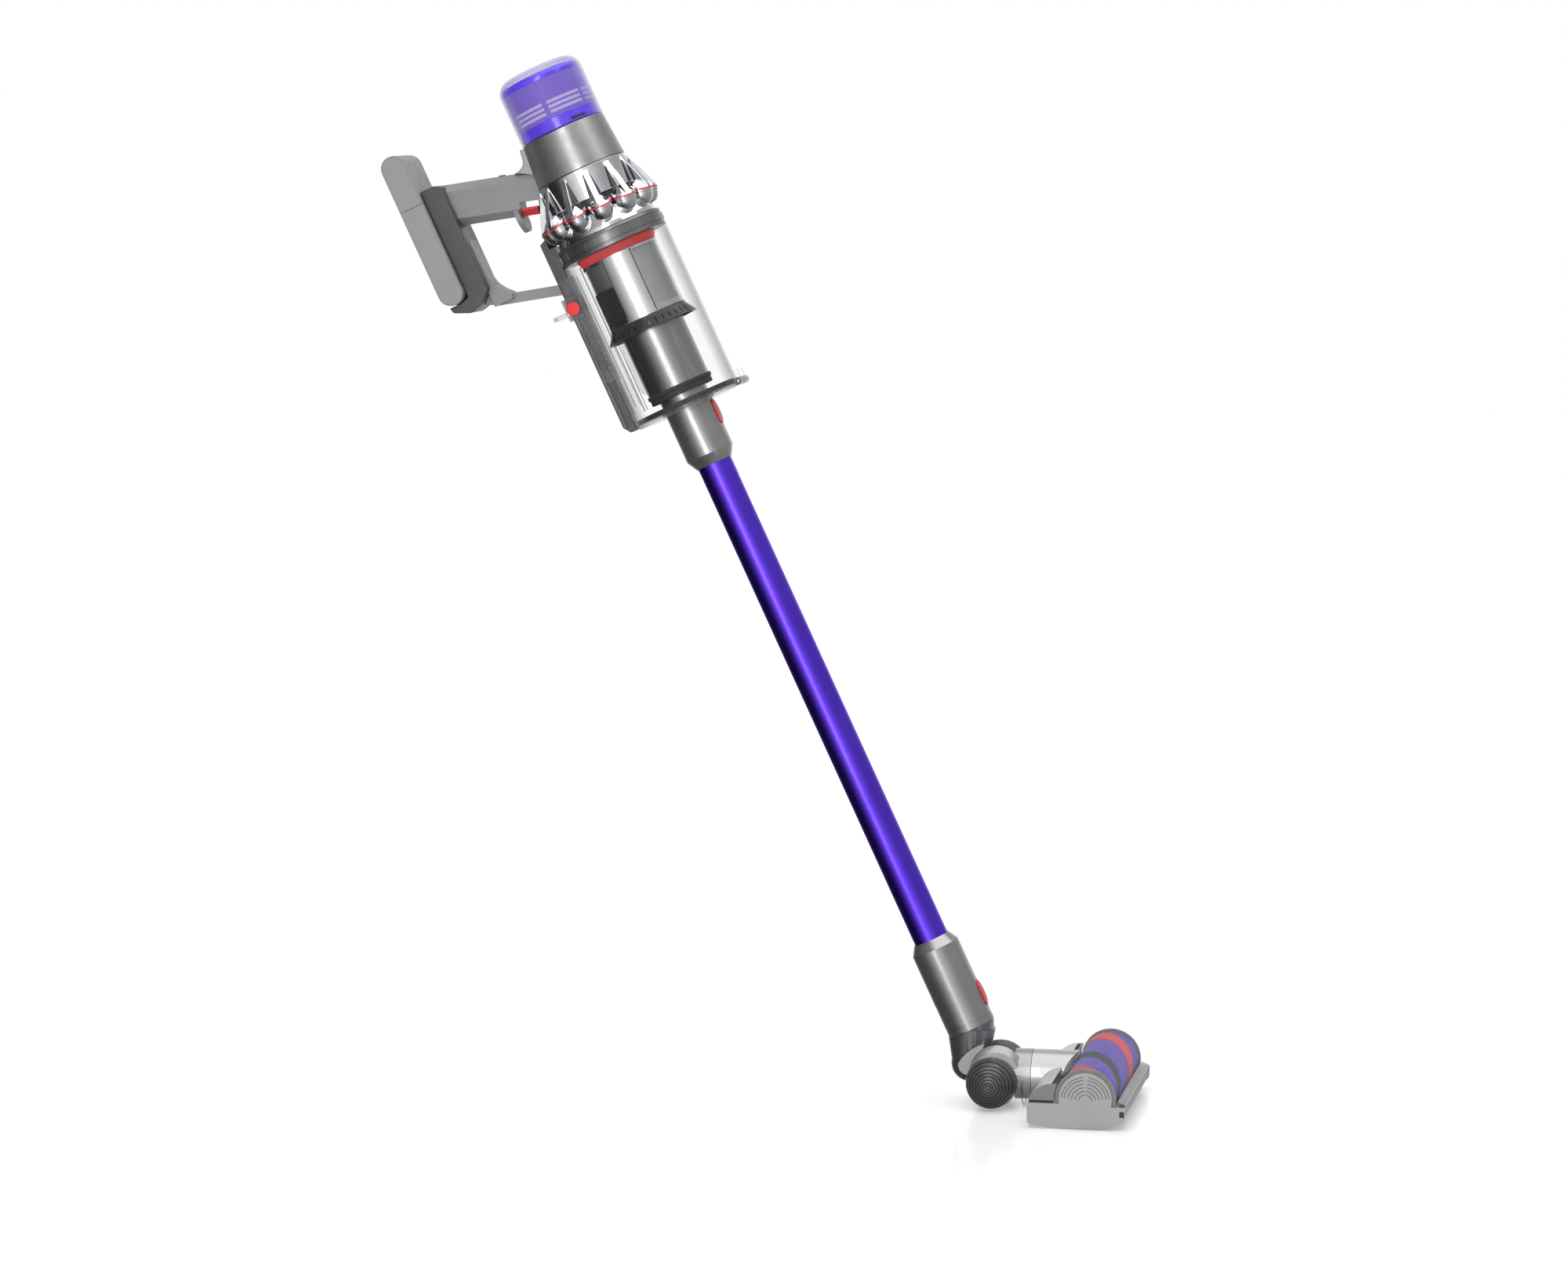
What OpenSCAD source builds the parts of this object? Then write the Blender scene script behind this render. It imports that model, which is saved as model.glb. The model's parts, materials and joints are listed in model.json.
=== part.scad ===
// Cordless stick vacuum cleaner, standing on its floor head with the wand leaning back.
// The frame's origin is on the floor below the middle of the whole object.
// Lengths are in millimetres. The machine is drawn upright along its own axis and then leaned back.

/* [Pose] */
// Lean of the wand from upright
lean = 25; // [15:1:35]

/* [Wand] */
// Length of bare tube between the two collars
wand_len = 580; // [440:5:720]
// Outer radius of the wand tube
wand_r = 19.7; // [16:0.1:22]
// Wall of the wand tube
wand_wall = 1.5; // [1:0.1:2.5]
// Outer radius of the collars at both ends of the wand
collar_r = 27.5; // [26:0.1:32]

/* [Bin] */
// Outer radius of the clear dust bin
bin_r = 61.5; // [55:0.5:72]
// Wall of the clear bin
bin_wall = 2.2; // [1.5:0.1:3]
// Height of the clear bin tube
bin_len = 191; // [165:1:230]
// Radius of the fixed dust cylinder inside the bin
dust_r = 36; // [32:0.5:40]
// Radius of the perforated shroud
shroud_r = 44.5; // [42:0.5:48]

/* [Cyclones] */
// Number of small cyclones around the crown
cyclone_count = 12; // [8:1:14]
// Radius of the circle through the middles of the cyclones
cyclone_pitch_r = 56; // [54:0.5:62]
// Radius of one cyclone's chrome dome
dome_r = 12.4; // [10:0.1:13.5]

/* [Motor] */
// Radius of the motor housing at its top
housing_r = 48; // [46:0.5:54]
// Height of the motor housing
housing_len = 50; // [45:1:60]
// Radius of the motor's rotor shaft
shaft_r = 2.5; // [2:0.1:4]

/* [Filter] */
// Height of the clear filter cap
filter_len = 74; // [60:1:90]

/* [Handle] */
// Distance from the machine's axis to the rear face of the battery
grip_reach = 199; // [180:1:230]
// Width of the grip across the hand
grip_w = 33; // [28:1:40]
// Length of the battery pack
battery_len = 179.5; // [150:0.5:210]
// Thickness of the battery pack
battery_t = 28.5; // [26:0.5:34]
// Width of the battery pack
battery_w = 75; // [70:1:84]

/* [Neck and wheels] */
// Radius of the two neck wheels
wheel_r = 28.5; // [26:0.5:34]
// Radius of the pale yoke between the wheels
yoke_r = 36; // [34:0.5:38]
// Radius of the swivel tube between the neck and the head
swivel_r = 28; // [25:0.5:29]

/* [Floor head] */
// Width of the floor head
head_w = 250; // [210:5:320]
// Radius of the soft roller
roller_r = 31.3; // [28:0.1:33]
// Radius of the clear cover's outer face over the roller
cover_r = 37.5; // [35:0.5:40]

/* [Hidden] */
$fn = 72;

fit = 0.05;          // radial running clearance of a pin or shaft
gap = 0.4;           // clearance between pieces that move past each other
inner_r = wand_r - wand_wall;

// Stations along the machine's axis, counted from the wheel axle
neck_low = 63;
neck_top = 99;
lower_collar_len = 61;
flare_len = 11;
wand_start = neck_top + lower_collar_len + flare_len;
wand_end = wand_start + wand_len;
upper_collar_len = 46;
inlet = wand_end + flare_len + 1 + upper_collar_len;
door_bottom = inlet + 9;
bin_bottom = door_bottom + 5;
bin_top = bin_bottom + bin_len;
collar_len = 19.5;
base_low = bin_top + collar_len + gap;
dome_low = bin_top + 28;
dome_top = bin_top + 41.5;
hat_low = dome_top + 1.5;
hat_top = hat_low + 13;
housing_low = bin_top + 91;
housing_top = housing_low + housing_len;
filter_low = housing_top + gap;
filter_top = filter_low + filter_len;

// Widest points that place the origin below the middle of the object
battery_low = bin_top + 15;
battery_top = battery_low + battery_len;
battery_end_r = battery_t / 2;
battery_mid = -(grip_reach - battery_end_r);
rear_reach = (battery_top - battery_end_r) * sin(lean) - battery_mid * cos(lean) + battery_end_r;
head_rear = 52;
head_front = 159.5;
axle_x = (rear_reach - head_front) / 2;
button_len = 31;
button_w = 13;
button_press = 2.5;
button_upper = inlet - 6.5;
button_lower = neck_top - 5;

module on_machine() {
    translate([axle_x, 0, wheel_r]) rotate([0, -lean, 0]) children();
}

module on_floor() {
    translate([axle_x, 0, 0]) children();
}

module ring(r_out, r_in, low, high) {
    translate([0, 0, low]) difference() {
        cylinder(h = high - low, r = r_out);
        translate([0, 0, -1]) cylinder(h = high - low + 2, r = r_in);
    }
}

// A round bar or cone between two points
module bar(a, b, r1, r2) {
    d = b - a;
    translate(a) rotate([0, acos(d[2] / norm(d)), atan2(d[1], d[0])]) cylinder(h = norm(d), r1 = r1, r2 = r2);
}

// A block that is drawn from its low corner to its high corner
module block(low, high) {
    translate(low) cube(high - low);
}

// A cylinder whose axis runs across the machine
module cross_pin(x, z, r, y_low, y_high) {
    translate([x, y_high, z]) rotate([90, 0, 0]) cylinder(h = y_high - y_low, r = r);
}

// An outline in the side view, made solid to both sides of the middle plane
module side_plate(points, w) {
    translate([0, w / 2, 0]) rotate([90, 0, 0]) linear_extrude(height = w) polygon(points);
}

// ---- Filter, which twists off the top of the motor ----
filter_r = housing_r + 0.5;
filter_wall = 2;
cage_r = filter_r - filter_wall - 1.2;
media_low = filter_low + 13.6;
media_len = 42;

// A round cap with a softened top edge, open below
module cap_form(r, low, high, shoulder) {
    translate([0, 0, low]) cylinder(h = high - shoulder - low, r = r);
    translate([0, 0, high - shoulder]) rotate_extrude() {
        square([r - shoulder, shoulder]);
        intersection() {
            translate([r - shoulder, 0]) circle(r = shoulder);
            square([r, shoulder]);
        }
    }
}

module filter_cap() {
    color([0.8, 0.8, 0.86, 0.4]) on_machine() difference() {
        cap_form(filter_r, filter_low, filter_top, 15);
        cap_form(filter_r - filter_wall, filter_low - 1, filter_top - filter_wall, 13);
    }
}

module pleat_outline(r_out, r_in, count) {
    polygon([for (i = [0:2 * count - 1])
        let (r = i % 2 == 0 ? r_out : r_in, a = i * 180 / count) [r * cos(a), r * sin(a)]]);
}

module filter_media() {
    color([0.55, 0.42, 0.85]) on_machine() translate([0, 0, media_low]) linear_extrude(height = media_len)
        difference() {
            pleat_outline(cage_r - 1.4, cage_r - 6, 48);
            circle(r = 35);
        }
}

module filter_frame() {
    slot_h = 4;
    plate_low = media_low + media_len;
    color([0.32, 0.2, 0.7]) on_machine() difference() {
        union() {
            ring(cage_r, 35, filter_low + 0.4, media_low);
            ring(cage_r, cage_r - 1, media_low, plate_low);
            translate([0, 0, plate_low]) cylinder(h = 6, r = cage_r);
            translate([0, 0, plate_low + 6]) cylinder(h = 3, r = 20);
        }
        for (row = [0:2]) for (a = [0:30:330]) rotate([0, 0, a + 9])
            translate([cage_r - 3, -8, filter_low + 19 + row * 5.6]) cube([6, 16, slot_h]);
        for (a = [20:120:260]) rotate([0, 0, a]) translate([34, -4, filter_low]) cube([4, 8, 5]);
    }
}

// ---- Motor ----
housing_base_r = housing_r + 4;
bucket_r = 32;

module motor_housing() {
    color([0.2, 0.2, 0.21]) on_machine() difference() {
        union() {
            translate([0, 0, housing_low]) cylinder(h = housing_len, r1 = housing_base_r, r2 = housing_r);
            translate([-housing_base_r - 1.4, -9, housing_low + 5]) cube([12, 18, housing_len - 12]);
        }
        translate([0, 0, housing_low - 1])
            cylinder(h = housing_len - 4, r1 = housing_base_r - 3, r2 = housing_r - 3);
        translate([0, 0, housing_low]) cylinder(h = housing_len + 1, r = bucket_r + 0.5);
    }
}

module motor_bucket() {
    color([0.3, 0.3, 0.32]) on_machine() difference() {
        union() {
            translate([0, 0, housing_low + 5]) cylinder(h = 81, r = bucket_r);
            translate([0, 0, housing_top - 8]) cylinder(h = 3, r = bucket_r + 8);
        }
        translate([0, 0, housing_low + 4]) cylinder(h = 80, r = bucket_r - 2);
        for (a = [0:30:330]) rotate([0, 0, a]) translate([22, 0, housing_low + 80]) cylinder(h = 10, r = 3);
    }
}

module motor_stator() {
    color([0.72, 0.45, 0.2]) on_machine() difference() {
        ring(bucket_r - 2, 20, housing_low + 47, housing_low + 69);
        for (a = [0:60:300]) rotate([0, 0, a + 30]) translate([23, 0, housing_low + 46])
            cylinder(h = 24, r = 4);
    }
}

module motor_bearings() {
    color([0.75, 0.76, 0.78]) on_machine() for (low = [housing_low + 36, housing_low + 76]) union() {
        ring(6.5, shaft_r + fit, low, low + 5);
        difference() {
            ring(bucket_r - 2, 6.5, low + 1, low + 4);
            for (a = [0:60:300]) rotate([0, 0, a]) translate([18, 0, low]) cylinder(h = 5, r = 7.5);
        }
    }
}

module motor_rotor() {
    color([0.6, 0.6, 0.64]) on_machine() union() {
        translate([0, 0, housing_low + 12]) cylinder(h = 70.5, r = shaft_r);
        translate([0, 0, housing_low + 48]) cylinder(h = 20, r = 8);
    }
}

module impeller() {
    color([0.12, 0.12, 0.13]) on_machine() translate([0, 0, housing_low + 14]) difference() {
        union() {
            cylinder(h = 16, r1 = 6, r2 = 24);
            translate([0, 0, 16]) cylinder(h = 2, r = 27);
            for (a = [0:40:320]) rotate([0, 0, a]) translate([6, -0.7, 3]) cube([20, 1.4, 14]);
        }
        translate([0, 0, -1]) cylinder(h = 22, r = shaft_r);
    }
}

// ---- Cyclone crown ----
module around_crown() {
    for (i = [0:cyclone_count - 1]) rotate([0, 0, (i + 0.5) * 360 / cyclone_count]) children();
}

// The ribs that run down from the band to each cyclone, grown all round by a clearance.
module crown_ribs(grow) {
    around_crown() bar([housing_base_r - 1, 0, housing_low - 4], [cyclone_pitch_r + 1, 0, hat_low + 9],
        3 + grow, 6 + grow);
}

module cyclone_manifold() {
    crown_r = cyclone_pitch_r - dome_r + 6;
    color([0.72, 0.72, 0.75]) on_machine() difference() {
        union() {
            translate([0, 0, hat_top]) cylinder(h = housing_low - hat_top, r = housing_base_r);
            translate([0, 0, hat_low]) cylinder(h = hat_top - hat_low, r = crown_r);
            around_crown() translate([cyclone_pitch_r, 0, hat_low])
                cylinder(h = hat_top - hat_low, r1 = dome_r + 1.2, r2 = 4);
            crown_ribs(0);
        }
        translate([0, 0, hat_low - 1]) cylinder(h = housing_low - hat_low + 2, r = crown_r - 6);
    }
}

module cyclone_gasket() {
    color([0.75, 0.06, 0.08]) on_machine() difference() {
        union() {
            translate([0, 0, dome_top]) cylinder(h = 1.5, r = cyclone_pitch_r);
            around_crown() translate([cyclone_pitch_r, 0, dome_top]) cylinder(h = 1.5, r = dome_r + 1.4);
        }
        translate([0, 0, dome_top - 1]) cylinder(h = 4, r = cyclone_pitch_r - dome_r);
    }
}

module cyclone_domes() {
    color([0.8, 0.8, 0.83]) on_machine() union() {
        around_crown() translate([cyclone_pitch_r, 0, 0]) intersection() {
            translate([0, 0, dome_top - dome_r]) union() {
                sphere(r = dome_r);
                cylinder(h = dome_r, r = dome_r);
            }
            translate([-dome_r, -dome_r, dome_low]) cube([2 * dome_r, 2 * dome_r, dome_top - dome_low]);
        }
        ring(cyclone_pitch_r + 1, cyclone_pitch_r - dome_r, base_low, dome_low);
    }
}

module cyclone_cones() {
    cone_top = base_low - 1;
    cone_low = bin_top - 29;
    color([0.35, 0.36, 0.38]) on_machine() union() {
        around_crown() bar([16, 0, cone_low], [cyclone_pitch_r - 11, 0, cone_top], 3, 8.5);
        ring(cyclone_pitch_r - dome_r, 20, cone_top - 2, cone_top);
    }
}

// ---- Collar, shroud and dust cylinder inside the bin ----
collar_outer_r = bin_r - 0.2;
shroud_top = bin_top - 9;
shroud_low = bin_top - 85;
skirt_low = bin_top - 99.5;

module bin_collar() {
    color([0.16, 0.16, 0.17]) on_machine() difference() {
        union() {
            ring(collar_outer_r, bin_r - 4, bin_top + gap, bin_top + gap + collar_len);
            ring(bin_r - 4, shroud_r, bin_top + gap, bin_top + 3);
        }
        for (z = [5, 15]) ring(collar_outer_r + 1, collar_outer_r - 1.2, bin_top + z, bin_top + z + 1.4);
    }
}

module shroud_band() {
    color([0.72, 0.08, 0.1]) on_machine() difference() {
        translate([0, 0, shroud_top]) cylinder(h = 9 + gap, r1 = shroud_r - 1, r2 = shroud_r + 2.5);
        translate([0, 0, shroud_top - 1]) cylinder(h = 14, r = shroud_r - 2);
    }
}

// Angles of the middles of the four mesh windows and their half width
window_angles = [31, 136, 224, 329];
window_half = 29;

module window_wedge(low, high) {
    reach = 80;
    for (a = window_angles) rotate([0, 0, a]) translate([0, 0, low]) linear_extrude(height = high - low)
        polygon([[0, 0], reach * [cos(window_half), -sin(window_half)], [reach, 0],
            reach * [cos(window_half), sin(window_half)]]);
}

module shroud() {
    color([0.68, 0.68, 0.7]) on_machine() difference() {
        ring(shroud_r, shroud_r - 2, shroud_low, shroud_top);
        window_wedge(shroud_low + 6, shroud_top - 3);
    }
}

module shroud_mesh() {
    color([0.4, 0.4, 0.43]) on_machine() ring(shroud_r - 2, shroud_r - 2.8, shroud_low, shroud_top);
}

module shroud_skirt() {
    slit_count = 36;
    color([0.13, 0.13, 0.14]) on_machine() difference() {
        union() {
            ring(shroud_r + 0.5, dust_r - 8, shroud_low - 3, shroud_low);
            difference() {
                translate([0, 0, skirt_low])
                    cylinder(h = shroud_low - 2 - skirt_low, r1 = shroud_r + 8.5, r2 = shroud_r + 0.5);
                translate([0, 0, skirt_low - 0.01])
                    cylinder(h = shroud_low - 3 - skirt_low, r1 = shroud_r + 6.5, r2 = shroud_r - 1.5);
            }
        }
        for (i = [0:slit_count - 1]) rotate([0, 0, i * 360 / slit_count])
            translate([shroud_r - 1, -0.8, skirt_low + 3]) cube([12, 1.6, 6]);
    }
}

dust_low = bin_bottom + 23;
dust_top = shroud_low - 3;

module dust_cylinder() {
    color([0.5, 0.5, 0.52]) on_machine() difference() {
        union() {
            ring(dust_r, dust_r - 2, dust_low, dust_top);
            ring(inner_r + 2, inner_r, dust_low, dust_top - 30);
            ring(dust_r - 2, inner_r + 2, dust_low, dust_low + 3);
            bar([0, 0, dust_top - 36], [0, dust_r - 1, dust_top - 24], 16, 16);
        }
        translate([0, 0, dust_low - 1]) cylinder(h = dust_top - 36 - dust_low, r = inner_r);
        bar([0, 0, dust_top - 36], [0, dust_r + 8, dust_top - 24], 14, 14);
        translate([0, 0, dust_top]) cylinder(h = 30, r = dust_r);
    }
}

module dust_fin() {
    color([0.85, 0.86, 0.88, 0.4]) on_machine() side_plate([
        [-dust_r - 5.8, dust_top - gap], [-dust_r, dust_top - gap],
        [-dust_r, dust_low + 4], [-dust_r - 5, dust_low + 8], [-dust_r - 8, dust_low + 14]], 2.4);
}

module inlet_seal() {
    color([0.1, 0.1, 0.1]) on_machine() union() {
        ring(dust_r + 2, collar_r, dust_low - 4, dust_low);
        ring(dust_r + 0.5, collar_r, dust_low - 10.5, dust_low - 4);
    }
}

// ---- Push buttons of the wand's two joints, and the pockets that hold them ----
module button_pocket(z) {
    translate([collar_r - 7.2, 0, z]) rotate([0, 90, 0]) linear_extrude(height = 12) button_slot(0.35);
}

module button_slot(grow) {
    square([button_len - button_w, button_w + 2 * grow], center = true);
    for (s = [-1, 1]) translate([s * (button_len - button_w) / 2, 0]) circle(r = button_w / 2 + grow);
}

module release_button(z) {
    crown = 1.8;
    sweep_r = (pow(button_len / 2, 2) + pow(crown, 2)) / (2 * crown);
    color([0.78, 0.08, 0.1]) on_machine() intersection() {
        translate([collar_r - 7.2 + button_press + gap, 0, z]) rotate([0, 90, 0])
            linear_extrude(height = 12) button_slot(0);
        cross_pin(collar_r + crown - sweep_r, z, sweep_r, -button_w, button_w);
    }
}

module release_button_upper() {
    release_button(button_upper);
}

module release_button_lower() {
    release_button(button_lower);
}

module inlet_collar() {
    color([0.42, 0.42, 0.44]) on_machine() difference() {
        translate([0, 0, inlet]) cylinder(h = dust_low - inlet, r = collar_r);
        translate([0, 0, inlet - 1]) cylinder(h = dust_low - inlet + 2, r = inner_r);
        button_pocket(button_upper);
    }
}

// ---- Wand ----
module wand_upper_collar() {
    color([0.4, 0.4, 0.42]) on_machine() difference() {
        union() {
            translate([0, 0, inlet - upper_collar_len]) cylinder(h = upper_collar_len, r = collar_r);
            translate([0, 0, wand_end]) cylinder(h = flare_len + 1, r1 = wand_r + 1.2, r2 = collar_r);
        }
        translate([0, 0, wand_end - 1]) cylinder(h = flare_len + 3, r = wand_r);
        translate([0, 0, wand_end]) cylinder(h = 80, r = inner_r);
        button_pocket(button_upper);
    }
}

module wand_tube() {
    color([0.38, 0.3, 0.62]) on_machine()
        ring(wand_r, inner_r, wand_start - flare_len, wand_end + flare_len + 2);
}

module wand_lower_collar() {
    color([0.4, 0.4, 0.42]) on_machine() difference() {
        union() {
            translate([0, 0, neck_top]) cylinder(h = lower_collar_len, r = collar_r);
            translate([0, 0, neck_top + lower_collar_len])
                cylinder(h = flare_len, r1 = collar_r, r2 = wand_r + 1.2);
        }
        translate([0, 0, wand_start - flare_len]) cylinder(h = flare_len + 1, r = wand_r);
        translate([0, 0, neck_top - 1]) cylinder(h = 80, r = inner_r);
        button_pocket(button_lower);
    }
}

// ---- Neck: connector and elbow move with the wand ----
module neck_connector() {
    color([0.38, 0.38, 0.4]) on_machine() difference() {
        translate([0, 0, neck_low]) cylinder(h = neck_top - neck_low, r = neck_r);
        translate([0, 0, neck_low - 1]) cylinder(h = neck_top, r = inner_r);
        ring(collar_r + 1, collar_r - 1, neck_low + 6.5, neck_low + 7.7);
        button_pocket(button_lower);
    }
}

elbow_back = [-18, 0, 27];
elbow_w = 36;
neck_r = collar_r - 0.2;
neck_cone = 18;
cheek_centre = [5, 9.5];
cheek_in = elbow_w / 2 + gap;
cheek_out = cheek_in + 8;
cheek_reach = norm(cheek_centre) + sqrt(pow(yoke_r, 2) - pow(cheek_in, 2));

module elbow_tube() {
    tube_r = 20;
    bore_r = 15.5;
    color([0.34, 0.34, 0.36]) on_machine() difference() {
        union() {
            bar(elbow_back, [0, 0, neck_low], tube_r, neck_r);
            translate([0, 0, neck_low - neck_cone]) cylinder(h = neck_cone, r1 = tube_r, r2 = neck_r);
            translate(elbow_back) sphere(r = tube_r + 1);
            bar([0, 0, 0], elbow_back, 16, tube_r);
            cross_pin(0, 0, 25, -elbow_w / 2, elbow_w / 2);
        }
        translate([0, 0, neck_low]) cylinder(h = 40, r = 2 * collar_r);
        bar(elbow_back, [0, 0, neck_low + 1], bore_r, inner_r - 0.2);
        translate(elbow_back) sphere(r = bore_r + 0.6);
        cross_pin(0, 0, axle_r + fit, -30, 30);
        cross_pin(0, 0, cheek_reach + 1, elbow_w / 2, 60);
        cross_pin(0, 0, cheek_reach + 1, -60, -elbow_w / 2);
    }
}

// ---- Runner, handle and battery ----
runner_front = bin_r + 0.8;
runner_back = bin_r + 14;
runner_w = 22;
runner_low = bin_bottom - 3;
runner_top = bin_top + 42;

module bin_runner() {
    color([0.2, 0.2, 0.21]) on_machine() difference() {
        side_plate([[-runner_front, runner_low], [-runner_back + 6, runner_low], [-runner_back, runner_low + 8],
            [-runner_back, runner_top - 6], [-runner_front, runner_top], [-bin_r + 3, runner_top],
            [-bin_r + 3, bin_top + 4], [-runner_front, bin_top + 4]], runner_w);
        cylinder(h = bin_top + 60, r = collar_outer_r);
        around_crown() translate([cyclone_pitch_r, 0, dome_low]) cylinder(h = 60, r = dome_r + 1.6);
    }
}

shoe_front = -(grip_reach - 53);
battery_front = -(grip_reach - battery_t);
grip_tilt = 16;
grip_h = 47;
grip_front = [-housing_base_r, 0, bin_top + 90.5];
grip_len = (-housing_base_r - shoe_front) / cos(grip_tilt);
grip_low = -grip_h / 2;
trigger_pull = 6;
trigger_top = grip_low + 8.8;
trigger_roof = trigger_top + trigger_pull + 0.6;
trigger_back = -21.3;

// Places pieces along the grip: the first axis runs away from the battery and the third out of its top
module on_grip() {
    translate(grip_front) rotate([0, grip_tilt, 0]) children();
}

// Makes an outline in the grip's cross section solid along the bar
module along_grip(back, front) {
    translate([front, 0, 0]) rotate([0, -90, 0]) rotate([0, 0, -90]) linear_extrude(height = front - back)
        children();
}

// The grip's flat side between its two bevelled bands
module grip_section() {
    w = grip_w / 2;
    h = grip_h / 2;
    bevel = 8;
    polygon([[-w, bevel - h], [bevel - w, -h], [w - bevel, -h], [w, bevel - h],
        [w, h - bevel], [w - bevel, h], [bevel - w, h], [-w, h - bevel]]);
}

module grip_bar() {
    wall = 4;
    color([0.5, 0.49, 0.5]) on_machine() difference() {
        on_grip() along_grip(-grip_len - 18, 10) grip_section();
        on_grip() block([-grip_len + 6, wall - grip_w / 2, trigger_roof + 1],
            [-8, grip_w / 2 - wall, grip_h / 2 - wall]);
        on_grip() block([trigger_back - 0.6, -grip_w, -grip_h], [0, grip_w, trigger_roof]);
        crown_ribs(gap);
        on_grip() translate([-40, 0, 0]) cylinder(h = 40, r = 4.2);
        translate([0, 0, housing_low]) cylinder(h = housing_len, r1 = housing_base_r, r2 = housing_r);
        translate([0, 0, bin_top]) cylinder(h = housing_low - bin_top, r = housing_base_r);
        block([-housing_base_r - 1.4, -9, housing_low + 5], [-housing_base_r + 10, 9, housing_top - 7]);
        block([shoe_front - 60, -60, bin_top], [shoe_front, 60, bin_top + 200]);
    }
}

module finger_guard() {
    color([0.5, 0.49, 0.5]) on_machine() difference() {
        translate([-housing_base_r - 34, 0, bin_top + 74.5]) rotate([0, 90, 0]) cylinder(h = 6, r = 18.5);
        on_grip() along_grip(-60, 10) grip_section();
        on_grip() block([-60, -grip_w, 0], [10, grip_w, 40]);
    }
}

module trigger() {
    w = grip_w / 2 - 1.5;
    color([0.78, 0.08, 0.1]) on_machine() on_grip() along_grip(trigger_back, -2.6)
        polygon([[-w, trigger_top], [-w, grip_low + 6.5], [7 - w, grip_low - 0.5], [w - 7, grip_low - 0.5],
            [w, grip_low + 6.5], [w, trigger_top]]);
}

module mode_button() {
    color([0.15, 0.15, 0.16]) on_machine() on_grip() translate([-40, 0, grip_h / 2 - 3.4])
        cylinder(h = 4.6, r = 3.9);
}

shoe_heel = [shoe_front - 15, bin_top + 3];
shoe_toe = [shoe_front, bin_top + 16];

module battery_shoe() {
    shoe_top = bin_top + 145;
    color([0.36, 0.36, 0.38]) on_machine() side_plate([
        [battery_front, shoe_top], [battery_front, battery_low + 3], [battery_front - 10, battery_low - gap],
        [4 - grip_reach, battery_low - gap], [6 - grip_reach, bin_top + 8],
        [battery_front - 4, bin_top], shoe_heel, shoe_toe, [shoe_front, shoe_top - 4.5],
        [shoe_front - 8, shoe_top]], 56);
}

module handle_strut() {
    low = bin_top - 24;
    color([0.48, 0.47, 0.48]) on_machine() side_plate([
        shoe_heel, [shoe_front + 3, low + 18.5], [-runner_back, low],
        [-runner_back, low + 12], [shoe_front + 8, low + 29], [shoe_front + 1.5, low + 35],
        [shoe_front, low + 45],
        shoe_toe], 18);
}

module battery_outline(inset) {
    low = battery_low + battery_end_r;
    high = battery_top - battery_end_r;
    translate([inset - grip_reach, low]) square([battery_t - 2 * inset, high - low]);
    for (z = [low, high]) translate([battery_mid, z]) circle(r = battery_end_r - inset);
}

module battery_prism(inset, w) {
    translate([0, w / 2, 0]) rotate([90, 0, 0]) linear_extrude(height = w) battery_outline(inset);
}

socket_z = battery_low + 30;
socket_r = 2.8;
socket_len = 9;
screw_r = 1.6;
screw_len = 2.6;

module battery_case() {
    seam = battery_low + 117;
    color([0.53, 0.52, 0.53]) on_machine() difference() {
        battery_prism(0, battery_w);
        battery_prism(2.2, battery_w - 5);
        for (s = [-1, 1]) translate([-grip_reach - 1, s * battery_w / 2 - 0.6, seam])
            cube([battery_t + 2, 1.2, 0.8]);
        translate([-grip_reach - 1, 0, socket_z]) rotate([0, 90, 0]) cylinder(h = 8, r = 6);
        for (z = [socket_z + 40, socket_z + 110]) translate([battery_front - 8, 0, z]) rotate([0, 90, 0])
            cylinder(h = 12, r = screw_r);
    }
}

module charge_socket() {
    color([0.1, 0.1, 0.1]) on_machine() difference() {
        translate([-grip_reach, 0, socket_z]) rotate([0, 90, 0]) cylinder(h = 12, r = 6);
        translate([-grip_reach - 1, 0, socket_z]) rotate([0, 90, 0]) cylinder(h = socket_len + 1, r = socket_r);
    }
}

module battery_cells() {
    cell_r = 9;
    cell_len = 65;
    first = battery_low + 54;
    color([0.2, 0.45, 0.75]) on_machine() for (i = [0:5])
        cross_pin(battery_mid + 2.4, first + i * 19.5, cell_r, -cell_len / 2, cell_len / 2);
}

module case_screws() {
    color([0.7, 0.7, 0.72]) on_machine() for (z = [socket_z + 40, socket_z + 110])
        translate([battery_front - screw_len, 0, z]) rotate([0, 90, 0]) cylinder(h = screw_len, r = screw_r);
}

module control_board() {
    color([0.1, 0.4, 0.2]) on_machine() on_grip() block([-grip_len + 12, 4 - grip_w / 2, -1],
        [-26, grip_w / 2 - 4, 0.6]);
}

// ---- Bin, its lever and its door, which slide down the runner ----
module bin_shell() {
    color([0.82, 0.85, 0.88, 0.35]) on_machine() difference() {
        union() {
            ring(bin_r, bin_r - bin_wall, bin_bottom, bin_top);
            for (s = [-1, 1]) translate([0, s * 13, bin_bottom]) union() {
                block([bin_r - 4, -4.5, gap], [door_hinge[0] + 3, 4.5, 12]);
                block([bin_r + 0.7, -4.5, -4], [door_hinge[0] + 3, 4.5, 1]);
            }
        }
        cylinder(h = bin_top + 10, r = bin_r - bin_wall);
        cross_pin(door_hinge[0], door_hinge[2], 1.5, -20, 20);
    }
}

guide_in = runner_w / 2 + 0.5;
guide_out = guide_in + 3;

module bin_guides() {
    color([0.6, 0.61, 0.63]) on_machine() for (s = [-1, 1]) scale([1, s, 1]) difference() {
        block([-runner_back + 3, guide_in, bin_bottom + 57], [-bin_r + 4, guide_out, bin_top - 8]);
        cylinder(h = bin_top + 10, r = bin_r);
    }
}

lever_z = bin_top - 43;
lever_travel = 10;

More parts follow.
